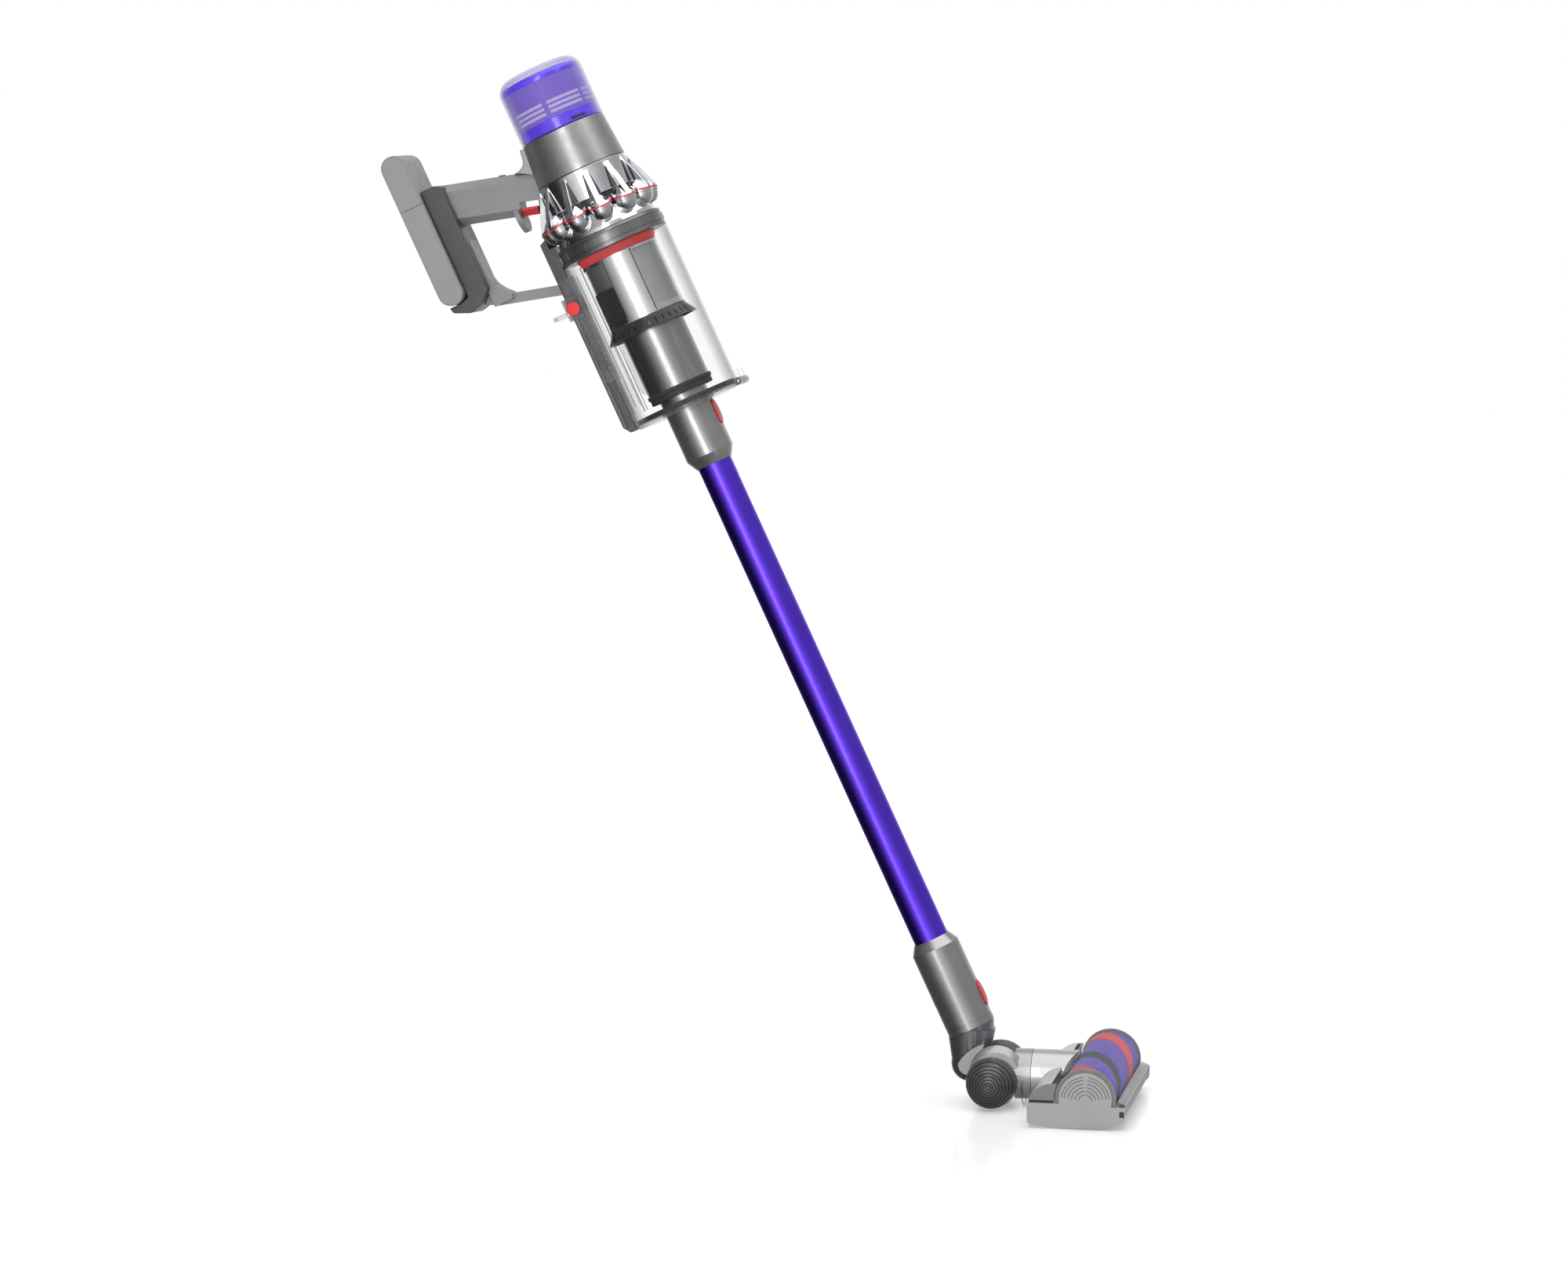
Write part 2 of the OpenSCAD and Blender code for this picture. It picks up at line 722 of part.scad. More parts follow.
module bin_lever() {
    side_in = guide_out + 0.5;
    color([0.75, 0.1, 0.12]) on_machine() union() {
        for (s = [-1, 1]) scale([1, s, 1]) union() {
            block([-runner_back - 3.5, side_in, lever_z - 12], [-bin_r + 0.4, side_in + 2, lever_z + 13]);
            cross_pin(-runner_back + 6.5, lever_z, 8, side_in + 2, side_in + 5);
            block([-runner_back + 3, side_in, bin_bottom + lever_travel - 6],
                [-runner_back + 5.4, side_in + 2, lever_z - 12]);
        }
        block([-runner_back - 3.5, -side_in, lever_z - 12], [-runner_back - 1, side_in, lever_z + 13]);
        block([-runner_back - 21, -12, lever_z - 5], [-runner_back - 3.5, 12, lever_z - 0.5]);
    }
}

door_hole_r = collar_r + 3.5;
door_hinge = [bin_r + 5, 0, bin_bottom - 1];

module bin_door() {
    edge = 4;
    color([0.82, 0.85, 0.88, 0.4]) on_machine() difference() {
        union() {
            translate([0, 0, door_bottom]) rotate_extrude() difference() {
                union() {
                    translate([door_hole_r, 0]) square([bin_r - edge - door_hole_r, 5]);
                    intersection() {
                        translate([bin_r - edge, edge]) circle(r = edge);
                        translate([bin_r - edge, 0]) square([edge, edge]);
                    }
                    translate([bin_r - edge - 1, edge]) square([edge + 1, 0.6]);
                }
                translate([0, 4.6]) square([bin_r + 2, 2]);
            }
            difference() {
                translate([bin_r - 6, -7.5, door_bottom + 0.4]) cube([11, 15, 4.2]);
                cylinder(h = bin_bottom, r = bin_r - 6.5);
            }
            cross_pin(door_hinge[0], door_hinge[2], 3, -7.5, 7.5);
        }
        cross_pin(door_hinge[0], door_hinge[2], 1.5 + fit, -20, 20);
        block([-80, -80, door_bottom + 4.6], [bin_r + 0.3, 80, bin_top]);
    }
}

module door_seal() {
    color([0.08, 0.08, 0.08]) on_machine()
        ring(bin_r - bin_wall - gap, door_hole_r + 2, door_bottom + 4.6, bin_bottom + 5);
}

module door_pin() {
    color([0.7, 0.7, 0.72]) on_machine() cross_pin(door_hinge[0], door_hinge[2], 1.5, -17.5, 17.5);
}

// ---- Neck yoke and wheels ----
swivel_z = 35;
wheel_in = cheek_out + gap;
axle_r = 4;

module yoke() {
    bridge_r = 26;
    color([0.62, 0.62, 0.64]) on_floor() difference() {
        union() {
            for (s = [-1, 1]) scale([1, s, 1]) union() {
                cross_pin(0, wheel_r, wheel_r - 1, cheek_in, cheek_out);
                intersection() {
                    translate([cheek_centre[0], 0, wheel_r + cheek_centre[1]]) sphere(r = yoke_r);
                    block([-60, cheek_in, wheel_r], [60, cheek_out, 90]);
                }
            }
            translate([24, 0, swivel_z]) rotate([0, 90, 0]) cylinder(h = 19, r = swivel_r);
            translate([40, 0, swivel_z]) rotate([0, 90, 0]) cylinder(h = 22, r = swivel_r - 5.5 - fit);
        }
        cross_pin(0, wheel_r, bridge_r, -cheek_in, cheek_in);
        cross_pin(0, wheel_r, axle_r, -60, 60);
        for (s = [-1, 1]) scale([1, s, 1]) cross_pin(0, wheel_r, wheel_r + gap, cheek_out, 60);
        translate([10, 0, swivel_z]) rotate([0, 90, 0]) cylinder(h = 60, r = 16);
    }
}

module wheel_axle() {
    color([0.7, 0.7, 0.72]) on_floor() cross_pin(0, wheel_r, axle_r, -wheel_in - 20, wheel_in + 20);
}

// A domed wheel with three steps, its flat side towards the yoke
module wheel() {
    groove = 0.9;
    difference() {
        union() {
            cylinder(h = 3, r = wheel_r);
            translate([0, 0, 3]) intersection() {
                sphere(r = wheel_r - 0.6);
                cylinder(h = wheel_r, r = wheel_r);
            }
        }
        for (i = [0:4]) translate([0, 0, 6 + i * 4]) difference() {
            cylinder(h = 1, r = wheel_r + 1);
            translate([0, 0, -1]) cylinder(h = 3, r = sqrt(pow(wheel_r, 2) - pow(4 + i * 4, 2)) - groove - 1);
        }
        translate([0, 0, -1]) cylinder(h = 22, r = axle_r + fit);
    }
}

module wheel_left() {
    color([0.22, 0.22, 0.24]) on_floor() translate([0, wheel_in, wheel_r]) rotate([-90, 0, 0]) wheel();
}

module wheel_right() {
    color([0.22, 0.22, 0.24]) on_floor() translate([0, -wheel_in, wheel_r]) rotate([90, 0, 0]) wheel();
}

// ---- Floor head ----
roller_x = 116;
roller_z = roller_r + 0.6;
cap_w = 7;
inside_w = head_w - 2 * cap_w;
duct_start = swivel_r + 15.6;
duct_end = 96;
cover_wall = 2.2;
rail_low = 13;
rail_top = 25;
caster_x = 65.5;
caster_r = 5.5;
caster_y = 70;
caster_pin_r = 1.5;
airway_r = 16;

module head_frame() {
    color([0.3, 0.3, 0.32]) on_floor() difference() {
        union() {
            translate([duct_start, 0, swivel_z]) rotate([0, 90, 0])
                cylinder(h = duct_end - duct_start, r = swivel_r);
            intersection() {
                cross_pin(78, 22, 26, -inside_w / 2, inside_w / 2);
                block([head_rear, -inside_w / 2, 4], [78, inside_w / 2, 52]);
            }
            side_plate([[head_rear, 12], [head_rear, 4], [76, 2.5], [86, 2.5], [90, 12]], inside_w);
        }
        translate([40, 0, swivel_z]) rotate([0, 90, 0]) cylinder(h = 23, r = swivel_r - 5.5);
        translate([40, 0, swivel_z]) rotate([0, 90, 0]) cylinder(h = 60, r = airway_r);
        cross_pin(roller_x, roller_z, cover_r + 0.5, -head_w, head_w);
        for (s = [-1, 1]) block([caster_x - 7, s * caster_y - 5, -1], [caster_x + 7, s * caster_y + 5, 13]);
        for (s = [-1, 1]) block([head_rear - 1, s * 75 - 35, 26], [head_rear + 5, s * 75 + 35, 30]);
        cross_pin(caster_x, caster_r, caster_pin_r + fit, -caster_y - 8, caster_y + 8);
    }
}

module cap_outline() {
    cap_r = roller_r - 0.3;
    translate([roller_x, roller_z + 1]) circle(r = cap_r);
    polygon([[head_rear, 8], [head_rear + 4, 3.5], [80, 1], [136, 0.5], [head_front, 8], [head_front, rail_top],
        [roller_x + cap_r, roller_z + 1], [roller_x, roller_z + 5], [88.5, 46], [84, 48], [77, 48], [70, 46.5],
        [64, 43.5], [58, 38.5], [54, 32], [head_rear, 24]]);
}

module end_caps() {
    vent_step = 5;
    vent_z = roller_z + 1;
    color([0.3, 0.3, 0.32]) on_floor() union() {
        for (s = [-1, 1]) difference() {
            translate([0, s * (head_w - cap_w) / 2 + cap_w / 2, 0]) rotate([90, 0, 0])
                linear_extrude(height = cap_w) cap_outline();
            for (i = [1:4]) difference() {
                translate([roller_x, s * (head_w / 2 - 2), vent_z]) rotate([s * -90, 0, 0])
                    ring(i * vent_step + 2, i * vent_step, 0, 5);
                block([roller_x - 40, -head_w, 0], [roller_x + 40, head_w, vent_z + 1]);
                block([roller_x - 1.5, -head_w, 0], [roller_x + 1.5, head_w, 80]);
            }
            if (s < 0) cross_pin(roller_x, roller_z, axle_r + fit, -head_w / 2 + 2, -head_w / 2 + cap_w + 1);
        }
        block([head_front - 8, -inside_w / 2, rail_low], [head_front - 1, inside_w / 2, rail_top]);
    }
}

module clear_cover() {
    color([0.85, 0.87, 0.9, 0.35]) on_floor() difference() {
        cross_pin(roller_x, roller_z, cover_r, -inside_w / 2, inside_w / 2);
        cross_pin(roller_x, roller_z, cover_r - cover_wall, -head_w, head_w);
        block([0, -head_w, -20], [200, head_w, rail_top]);
    }
}

module sole_wheels() {
    color([0.15, 0.15, 0.15]) on_floor() union() {
        for (s = [-1, 1]) cross_pin(caster_x, caster_r, caster_r, s * caster_y - 4, s * caster_y + 4);
        cross_pin(caster_x, caster_r, caster_pin_r, -caster_y - 7.5, caster_y + 7.5);
    }
}

// ---- Roller, driven by the motor inside it ----
roller_len = inside_w - 2;
core_r = 22;
core_wall = 3;
drive_shaft_r = 3;

module brush_motor() {
    color([0.45, 0.45, 0.48]) on_floor() difference() {
        union() {
            cross_pin(roller_x, roller_z, core_r - core_wall - 4, 20, inside_w / 2);
            cross_pin(roller_x, roller_z, core_r - core_wall - fit, roller_len / 2 - 8, roller_len / 2 - 0.5);
        }
        cross_pin(roller_x, roller_z, drive_shaft_r + fit, 18, 44);
    }
}

module brush_core() {
    color([0.14, 0.14, 0.15]) on_floor() union() {
        difference() {
            cross_pin(roller_x, roller_z, core_r, -roller_len / 2, roller_len / 2);
            cross_pin(roller_x, roller_z, core_r - core_wall, -roller_len / 2 + 4, roller_len);
        }
        cross_pin(roller_x, roller_z, axle_r, -roller_len / 2 - 5.5, -roller_len / 2 + 1);
        cross_pin(roller_x, roller_z, core_r - core_wall + 0.5, -10, -4);
        cross_pin(roller_x, roller_z, drive_shaft_r, -5, 42);
    }
}

// The roller's covering is cut into bands that wind around it
roller_twist = 420;
band_gap = 2.4;
bristle_start = 200;
bristle_angle = 28;
dark_start = bristle_start + bristle_angle;
dark_angle = 40;

module wound_band(start, angle) {
    steps = ceil(angle / 10);
    angles = [for (i = [0:steps]) start + band_gap / 2 + i * (angle - band_gap) / steps];
    translate([roller_x, roller_len / 2, roller_z]) rotate([90, 0, 0])
        linear_extrude(height = roller_len, twist = roller_twist, slices = 40, segments = 1)
            polygon(concat([for (a = angles) roller_r * [cos(a), sin(a)]],
                [for (i = [steps:-1:0]) (core_r + 0.5) * [cos(angles[i]), sin(angles[i])]]));
}

module brush_pile() {
    pile_start = dark_start + dark_angle;
    color([0.42, 0.32, 0.72]) on_floor() wound_band(pile_start, bristle_start + 360 - pile_start);
}

module brush_bristles() {
    color([0.7, 0.1, 0.12]) on_floor() wound_band(bristle_start, bristle_angle);
}

module brush_dark_strip() {
    color([0.12, 0.12, 0.14]) on_floor() wound_band(dark_start, dark_angle);
}

filter_cap();
filter_media();
filter_frame();
motor_housing();
motor_bucket();
motor_stator();
motor_bearings();
motor_rotor();
impeller();
cyclone_manifold();
cyclone_gasket();
cyclone_domes();
cyclone_cones();
bin_collar();
shroud_band();
shroud();
shroud_mesh();
shroud_skirt();
dust_cylinder();
dust_fin();
inlet_seal();
inlet_collar();
bin_runner();
grip_bar();
finger_guard();
battery_shoe();
handle_strut();
battery_case();
battery_cells();
charge_socket();
case_screws();
control_board();
trigger();
mode_button();
bin_shell();
bin_guides();
bin_lever();
bin_door();
door_seal();
door_pin();
wand_upper_collar();
wand_tube();
wand_lower_collar();
release_button_upper();
release_button_lower();
neck_connector();
elbow_tube();
yoke();
wheel_axle();
wheel_left();
wheel_right();
head_frame();
end_caps();
clear_cover();
sole_wheels();
brush_motor();
brush_core();
brush_pile();
brush_bristles();
brush_dark_strip();
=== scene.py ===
"""Looks of a cordless stick vacuum cleaner: body, clear bin, wand, wheeled neck and roller head.

Sizes are millimetres in two frames. The machine frame has its origin on the wheel axle and its Z up the
leaning wand. The floor frame stands under the same axle and is upright. piece() turns both into metres.
"""

import json
import math

import bmesh
import bpy
from mathutils import Matrix, Vector


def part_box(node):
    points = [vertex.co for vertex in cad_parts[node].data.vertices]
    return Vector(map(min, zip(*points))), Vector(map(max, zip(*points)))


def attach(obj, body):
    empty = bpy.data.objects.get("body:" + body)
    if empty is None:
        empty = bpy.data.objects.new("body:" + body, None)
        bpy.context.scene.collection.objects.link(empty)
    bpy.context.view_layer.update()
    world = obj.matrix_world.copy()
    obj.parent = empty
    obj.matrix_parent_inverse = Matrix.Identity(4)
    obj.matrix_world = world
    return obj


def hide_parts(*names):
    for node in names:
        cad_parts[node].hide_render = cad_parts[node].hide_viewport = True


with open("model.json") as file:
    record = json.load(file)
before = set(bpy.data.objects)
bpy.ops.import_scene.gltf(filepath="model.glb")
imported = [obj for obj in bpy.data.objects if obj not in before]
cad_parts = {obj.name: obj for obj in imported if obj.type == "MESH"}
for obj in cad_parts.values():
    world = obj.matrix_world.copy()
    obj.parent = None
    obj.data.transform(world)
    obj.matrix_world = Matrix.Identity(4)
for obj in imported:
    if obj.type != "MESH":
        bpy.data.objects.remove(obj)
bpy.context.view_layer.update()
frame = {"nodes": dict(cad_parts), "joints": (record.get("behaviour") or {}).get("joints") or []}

# ---------------------------------------------------------------- frames and sizes

MM = 0.001
JOINTS = {joint["name"]: joint for joint in frame["joints"]}
AXLE = Vector(JOINTS["neck_pitch"]["pos_m"])
WAND_AXIS = Vector(JOINTS["filter_twist"]["axis"])
LEAN = math.atan2(-WAND_AXIS.x, WAND_AXIS.z)
MACHINE = Matrix.Translation(AXLE) @ Matrix.Rotation(-LEAN, 4, "Y") @ Matrix.Scale(MM, 4)
FLOOR = Matrix.Translation((AXLE.x, 0, 0)) @ Matrix.Scale(MM, 4)
AS_BUILT = Matrix.Identity(4)

CORNER_STEPS = 5
TURN_STEPS = 96
SMOOTH_ANGLE, EDGE_ANGLE, FLAT_ANGLE = (math.radians(angle) for angle in (33, 28, 0.8))
WELD = 0.002

# Machine frame: R is a radius from the wand axis, LOW and TOP are levels up the wand, angles are degrees.
CAP_OUTER_R, CAP_INNER_R = 48.5, 46.5
GAUZE_LOW, GAUZE_TOP = 1169.0, 1212.8
SLOT_LEVELS = (1173.6, 1179.2, 1184.8)
SLOT_START, SLOT_SWEEP = -83, 53

HOUSING_LOW, HOUSING_TOP = 1105.4, 1154.9

CYCLONES = 12
CYCLONE_PITCH = 360 / CYCLONES
CYCLONE_R = 56.0
MANIFOLD_LOW, MANIFOLD_TOP = 1071.5, 1104.7
# Where the painted shade beside each rib starts to narrow upward, and how much it narrows.
RIB_SHADE_WAIST, RIB_SHADE_NARROWING = 1085, 0.62
GASKET_LOW, GASKET_TOP = 1056.2, 1057.5
STRIP_REACH, STRIP_RISE = 105.0, 6.2

COLLAR_LOW, COLLAR_TOP = 1014.7, 1033.8
SHROUD_LOW, SHROUD_TOP = 930.2, 1004.6
BIN_OUTER_R = 61.4

BATTERY_REAR, BATTERY_FRONT = -199, -170.6
BATTERY_LOW, BATTERY_SEAM, BATTERY_TOP = 1029, 1146.0, 1208.4
BATTERY_HALF_W = 37.0

# Floor frame: HALF_W and Y run across the head, the roller turns about its X and Z.
WHEEL_R, WHEEL_FACE_Y = 28.5, 26.8
WHEEL_RINGS = (25.5, 22.0, 18.6, 15.2, 11.8, 8.4, 5.2, 2.6)
DUCT_Z = 28.0
HEAD_HALF_W = 125
CAP_INNER_Y = 118.1
RAIL_HALF_W = 118
ROLLER_X, ROLLER_Z = 116.0, 32.9
ROLLER_TWIST = 420


# ---------------------------------------------------------------- modelling helpers

def outline(corners):
    """One flat face in XZ through the corners, each (across, up, rounding)."""
    bm = bmesh.new()
    verts = [bm.verts.new((corner[0], 0, corner[1])) for corner in corners]
    bm.faces.new(verts)
    for vert, corner in zip(verts, corners):
        if len(corner) > 2:
            bmesh.ops.bevel(bm, geom=[vert], offset=corner[2], offset_type="OFFSET", segments=CORNER_STEPS,
                            profile=0.5, affect="VERTICES", material=-1, clamp_overlap=True)
    return bm


def oblong(inner, outer, low, high, rounding=0.0):
    """Corners of an upright oblong, rounded on its outer side."""
    corner = (rounding,) if rounding else ()
    return [(inner, low), (outer, low, *corner), (outer, high, *corner), (inner, high)]


def open_outline(corners):
    """The edges of the outline without their face."""
    bm = outline(corners)
    bmesh.ops.delete(bm, geom=bm.faces[:], context="FACES_ONLY")
    return bm


def turned(corners, steps=TURN_STEPS):
    """The outline turned once about Z."""
    bm = open_outline(corners)
    on_axis = [e for e in bm.edges if all(abs(v.co.x) < 0.001 for v in e.verts)]
    bmesh.ops.delete(bm, geom=on_axis, context="EDGES")
    bmesh.ops.spin(bm, geom=bm.verts[:] + bm.edges[:], cent=(0, 0, 0), axis=(0, 0, 1), dvec=(0, 0, 0),
                   angle=math.tau, steps=steps, use_merge=True, use_duplicate=False)
    bmesh.ops.remove_doubles(bm, verts=bm.verts[:], dist=WELD)
    return bm


def swept(corners, start, end, steps=12):
    """The outline turned about Z from one angle to another, with closed ends."""
    bm = open_outline(corners)
    turn(bm, start)
    bmesh.ops.spin(bm, geom=bm.verts[:] + bm.edges[:], cent=(0, 0, 0), axis=(0, 0, 1), dvec=(0, 0, 0),
                   angle=math.radians(end - start), steps=steps, use_merge=False, use_duplicate=False)
    bmesh.ops.remove_doubles(bm, verts=bm.verts[:], dist=WELD)
    bmesh.ops.holes_fill(bm, edges=[e for e in bm.edges if e.is_boundary])
    return bm


def only_verts(made):
    """The points among what an operator has made."""
    return [item for item in made["geom"] if isinstance(item, bmesh.types.BMVert)]


def round_edges(bm, edges, width, steps):
    """Rounds the edges over, width back from each."""
    bmesh.ops.bevel(bm, geom=edges, offset=width, offset_type="OFFSET", segments=steps, profile=0.5,
                    affect="EDGES", material=-1, clamp_overlap=True)


def slab(corners, y_low, y_high, rounding=0.0, steps=3):
    """The outline made as thick as y_low to y_high, with its rims rounded."""
    bm = outline(corners)
    bmesh.ops.translate(bm, verts=bm.verts[:], vec=(0, y_low, 0))
    made = bmesh.ops.extrude_face_region(bm, geom=bm.faces[:])
    bmesh.ops.translate(bm, verts=only_verts(made), vec=(0, y_high - y_low, 0))
    if rounding:
        rims = [e for e in bm.edges if abs(e.verts[0].co.y - e.verts[1].co.y) < 0.001]
        round_edges(bm, rims, rounding, steps)
    return bm


def box(low, high, rounding=0.0):
    """A block between two corners."""
    return slab(oblong(low[0], high[0], low[2], high[2]), low[1], high[1], rounding)


def turn(bm, degrees, axis="Z", verts=None):
    """Turns the whole shape, or the given points of it, about an axis through the origin."""
    spun = Matrix.Rotation(math.radians(degrees), 3, axis)
    bmesh.ops.rotate(bm, cent=(0, 0, 0), matrix=spun, verts=verts or bm.verts[:])
    return bm


def move(bm, x, y, z):
    bmesh.ops.translate(bm, verts=bm.verts[:], vec=(x, y, z))
    return bm


def around(bm, angles):
    """The shape, which stands at the first angle about Z, copied to the other angles."""
    first = bm.verts[:] + bm.edges[:] + bm.faces[:]
    for angle in angles[1:]:
        made = bmesh.ops.duplicate(bm, geom=first)
        turn(bm, angle - angles[0], verts=only_verts(made))
    return bm


def joined(*shapes):
    """Several shapes as one."""
    whole = bmesh.new()
    for bm in shapes:
        part = bpy.data.meshes.new("part")
        bm.to_mesh(part)
        bm.free()
        whole.from_mesh(part)
        bpy.data.meshes.remove(part)
    return whole


def mirrored(bm):
    """The shape and its mirror image across the middle plane."""
    made = bmesh.ops.duplicate(bm, geom=bm.verts[:] + bm.edges[:] + bm.faces[:])
    bmesh.ops.scale(bm, vec=(1, -1, 1), verts=only_verts(made))
    return bm


def worked_copy(node, edge):
    """A merged copy of a CAD node, in metres, with its sharp edges broken by edge millimetres."""
    bm = bmesh.new()
    bm.from_mesh(frame["nodes"][node].data)
    bmesh.ops.remove_doubles(bm, verts=bm.verts[:], dist=WELD * MM)
    bmesh.ops.dissolve_limit(bm, angle_limit=FLAT_ANGLE, use_dissolve_boundaries=False,
                             verts=bm.verts[:], edges=bm.edges[:])
    sharp = [e for e in bm.edges if len(e.link_faces) == 2 and e.calc_face_angle(0) > EDGE_ANGLE]
    if edge and sharp:
        round_edges(bm, sharp, edge * MM, 2)
    return bm


def piece(name, bm, body, material, stands_for=(), place=MACHINE):
    """Makes the finished object and ties it to its body and CAD nodes."""
    if place is not AS_BUILT:
        bmesh.ops.transform(bm, matrix=place, verts=bm.verts[:])
        bmesh.ops.remove_doubles(bm, verts=bm.verts[:], dist=WELD * MM)
        bmesh.ops.recalc_face_normals(bm, faces=bm.faces[:])
    mesh = bpy.data.meshes.new(name)
    bm.to_mesh(mesh)
    bm.free()
    mesh.shade_smooth()
    mesh.set_sharp_from_angle(angle=SMOOTH_ANGLE)
    mesh.materials.append(material)
    made = bpy.data.objects.new(name, mesh)
    bpy.context.scene.collection.objects.link(made)
    weighted = made.modifiers.new("weighted", "WEIGHTED_NORMAL")
    weighted.keep_sharp = True
    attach(made, body)
    if stands_for:
        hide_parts(*stands_for)
    return made


def broken_edges(node, body, material, edge=0.4):
    """Shows a CAD node through a copy with softened edges."""
    return piece(node + "_shown", worked_copy(node, edge), body, material, [node], AS_BUILT)


def dressed(names, material):
    """Gives CAD nodes that show as they are their material."""
    for name in names:
        node = frame["nodes"][name]
        node.data.materials.clear()
        node.data.materials.append(material)


# ---------------------------------------------------------------- material helpers

class Finish:
    """A node material with short ways to add grain, tone and relief."""

    def __init__(self, name, metallic=0.0, roughness=0.4):
        self.material = bpy.data.materials.new(name)
        self.material.use_nodes = True
        self.nodes = self.material.node_tree.nodes
        self.links = self.material.node_tree.links
        self.shader = self.nodes["Principled BSDF"]
        self.shader.inputs["Metallic"].default_value = metallic
        self.shader.inputs["Roughness"].default_value = roughness

    def coords(self, stretch=(1, 1, 1), machine=False):
        source = self.nodes.new("ShaderNodeTexCoord")
        vector = source.outputs["Object"]
        if machine:
            centred = self.nodes.new("ShaderNodeMapping")
            centred.vector_type = "TEXTURE"
            centred.inputs["Location"].default_value = AXLE
            centred.inputs["Rotation"].default_value = (0, -LEAN, 0)
            self.links.new(vector, centred.inputs["Vector"])
            vector = centred.outputs["Vector"]
        scaled = self.nodes.new("ShaderNodeMapping")
        scaled.inputs["Scale"].default_value = stretch
        self.links.new(vector, scaled.inputs["Vector"])
        return scaled.outputs["Vector"]

    def noise(self, vector, scale, detail=2.0):
        made = self.nodes.new("ShaderNodeTexNoise")
        made.inputs["Scale"].default_value = scale
        made.inputs["Detail"].default_value = detail
        self.links.new(vector, made.inputs["Vector"])
        return made.outputs["Fac"]

    def cells(self, vector, scale):
        made = self.nodes.new("ShaderNodeTexVoronoi")
        made.inputs["Scale"].default_value = scale
        self.links.new(vector, made.inputs["Vector"])
        return made.outputs["Distance"]

    def maths(self, operation, first, second=None):
        made = self.nodes.new("ShaderNodeMath")
        made.operation = operation
        for socket, value in zip(made.inputs, (first, second)):
            if value is None:
                continue
            if isinstance(value, (int, float)):
                socket.default_value = value
            else:
                self.links.new(value, socket)
        return made.outputs["Value"]

    def weighed(self, first, share, second, other_share):
        """Two values added up, each times its own share."""
        return self.maths("ADD", self.maths("MULTIPLY", first, share),
                          self.maths("MULTIPLY", second, other_share))

    def ranged(self, factor, low, high, start=0.0, end=1.0):
        made = self.nodes.new("ShaderNodeMapRange")
        made.inputs["From Min"].default_value = start
        made.inputs["From Max"].default_value = end
        made.inputs["To Min"].default_value = low
        made.inputs["To Max"].default_value = high
        self.links.new(factor, made.inputs["Value"])
        return made.outputs["Result"]

    def tone(self, factor, dark, light, start=0.3, end=0.7):
        ramp = self.nodes.new("ShaderNodeValToRGB")
        ramp.color_ramp.elements[0].position = start
        ramp.color_ramp.elements[0].color = (*dark, 1)
        ramp.color_ramp.elements[1].position = end
        ramp.color_ramp.elements[1].color = (*light, 1)
        self.links.new(factor, ramp.inputs["Fac"])
        self.links.new(ramp.outputs["Color"], self.shader.inputs["Base Color"])

    def relief(self, height, strength, distance=0.0002):
        bump = self.nodes.new("ShaderNodeBump")
        bump.inputs["Strength"].default_value = strength
        bump.inputs["Distance"].default_value = distance
        self.links.new(height, bump.inputs["Height"])
        self.links.new(bump.outputs["Normal"], self.shader.inputs["Normal"])

    def rough(self, factor, low, high):
        self.links.new(self.ranged(factor, low, high, 0.3, 0.7), self.shader.inputs["Roughness"])


def moulded(name, dark, light, roughness, metallic=0.0, grain=1400, depth=0.15, coat=0.0):
    """Moulded or painted plastic: fine eggshell grain, faint cloudy tone, uneven polish."""
    finish = Finish(name, metallic, roughness)
    at = finish.coords()
    clouds = finish.noise(at, 22, 4)
    speckle = finish.noise(at, grain, 2)
    finish.tone(finish.weighed(clouds, 0.5, speckle, 0.5), dark, light)
    finish.rough(finish.noise(at, 90, 5), roughness * 0.85, roughness * 1.2)
    finish.relief(speckle, depth, 0.0001)
    finish.shader.inputs["Coat Weight"].default_value = coat
    finish.shader.inputs["Coat Roughness"].default_value = 0.12
    return finish.material


def clear_moulding(name, dark, light, facing, edge, start=0.35, roughness=0.06):
    """Clear plastic: nearly unseen face on, grey and glossy where it turns away."""
    finish = Finish(name, 0.0, roughness)
    at = finish.coords()
    finish.tone(finish.noise(at, 40, 3), dark, light)
    finish.rough(finish.noise(at, 260, 4), roughness * 0.6, roughness * 1.8)
    weight = finish.nodes.new("ShaderNodeLayerWeight")
    weight.inputs["Blend"].default_value = 0.5
    alpha = finish.ranged(weight.outputs["Facing"], facing, edge, start, 1.0)
    finish.links.new(alpha, finish.shader.inputs["Alpha"])
    finish.shader.inputs["IOR"].default_value = 1.49
    finish.shader.inputs["Specular IOR Level"].default_value = 0.7
    return finish.material


def polished_chrome():
    finish = Finish("polished_chrome", 1.0, 0.07)
    at = finish.coords()
    finish.tone(finish.noise(at, 60, 3), (0.66, 0.67, 0.7), (0.8, 0.81, 0.83))
    finish.rough(finish.noise(at, 300, 5), 0.04, 0.11)
    finish.relief(finish.noise(at, 160, 2), 0.06, 0.0004)
    return finish.material


def anodised_violet():
    """Drawn aluminium tube, anodised: fine lines along the tube under a satin sheen."""
    finish = Finish("anodised_violet", 1.0, 0.3)
    lines = finish.noise(finish.coords((1, 1, 0.012), True), 2600, 3)
    clouds = finish.noise(finish.coords(), 14, 3)
    finish.tone(finish.weighed(lines, 0.5, clouds, 0.5), (0.12, 0.045, 0.74), (0.155, 0.066, 0.9))
    finish.rough(lines, 0.25, 0.34)
    finish.relief(lines, 0.08, 0.0001)
    return finish.material


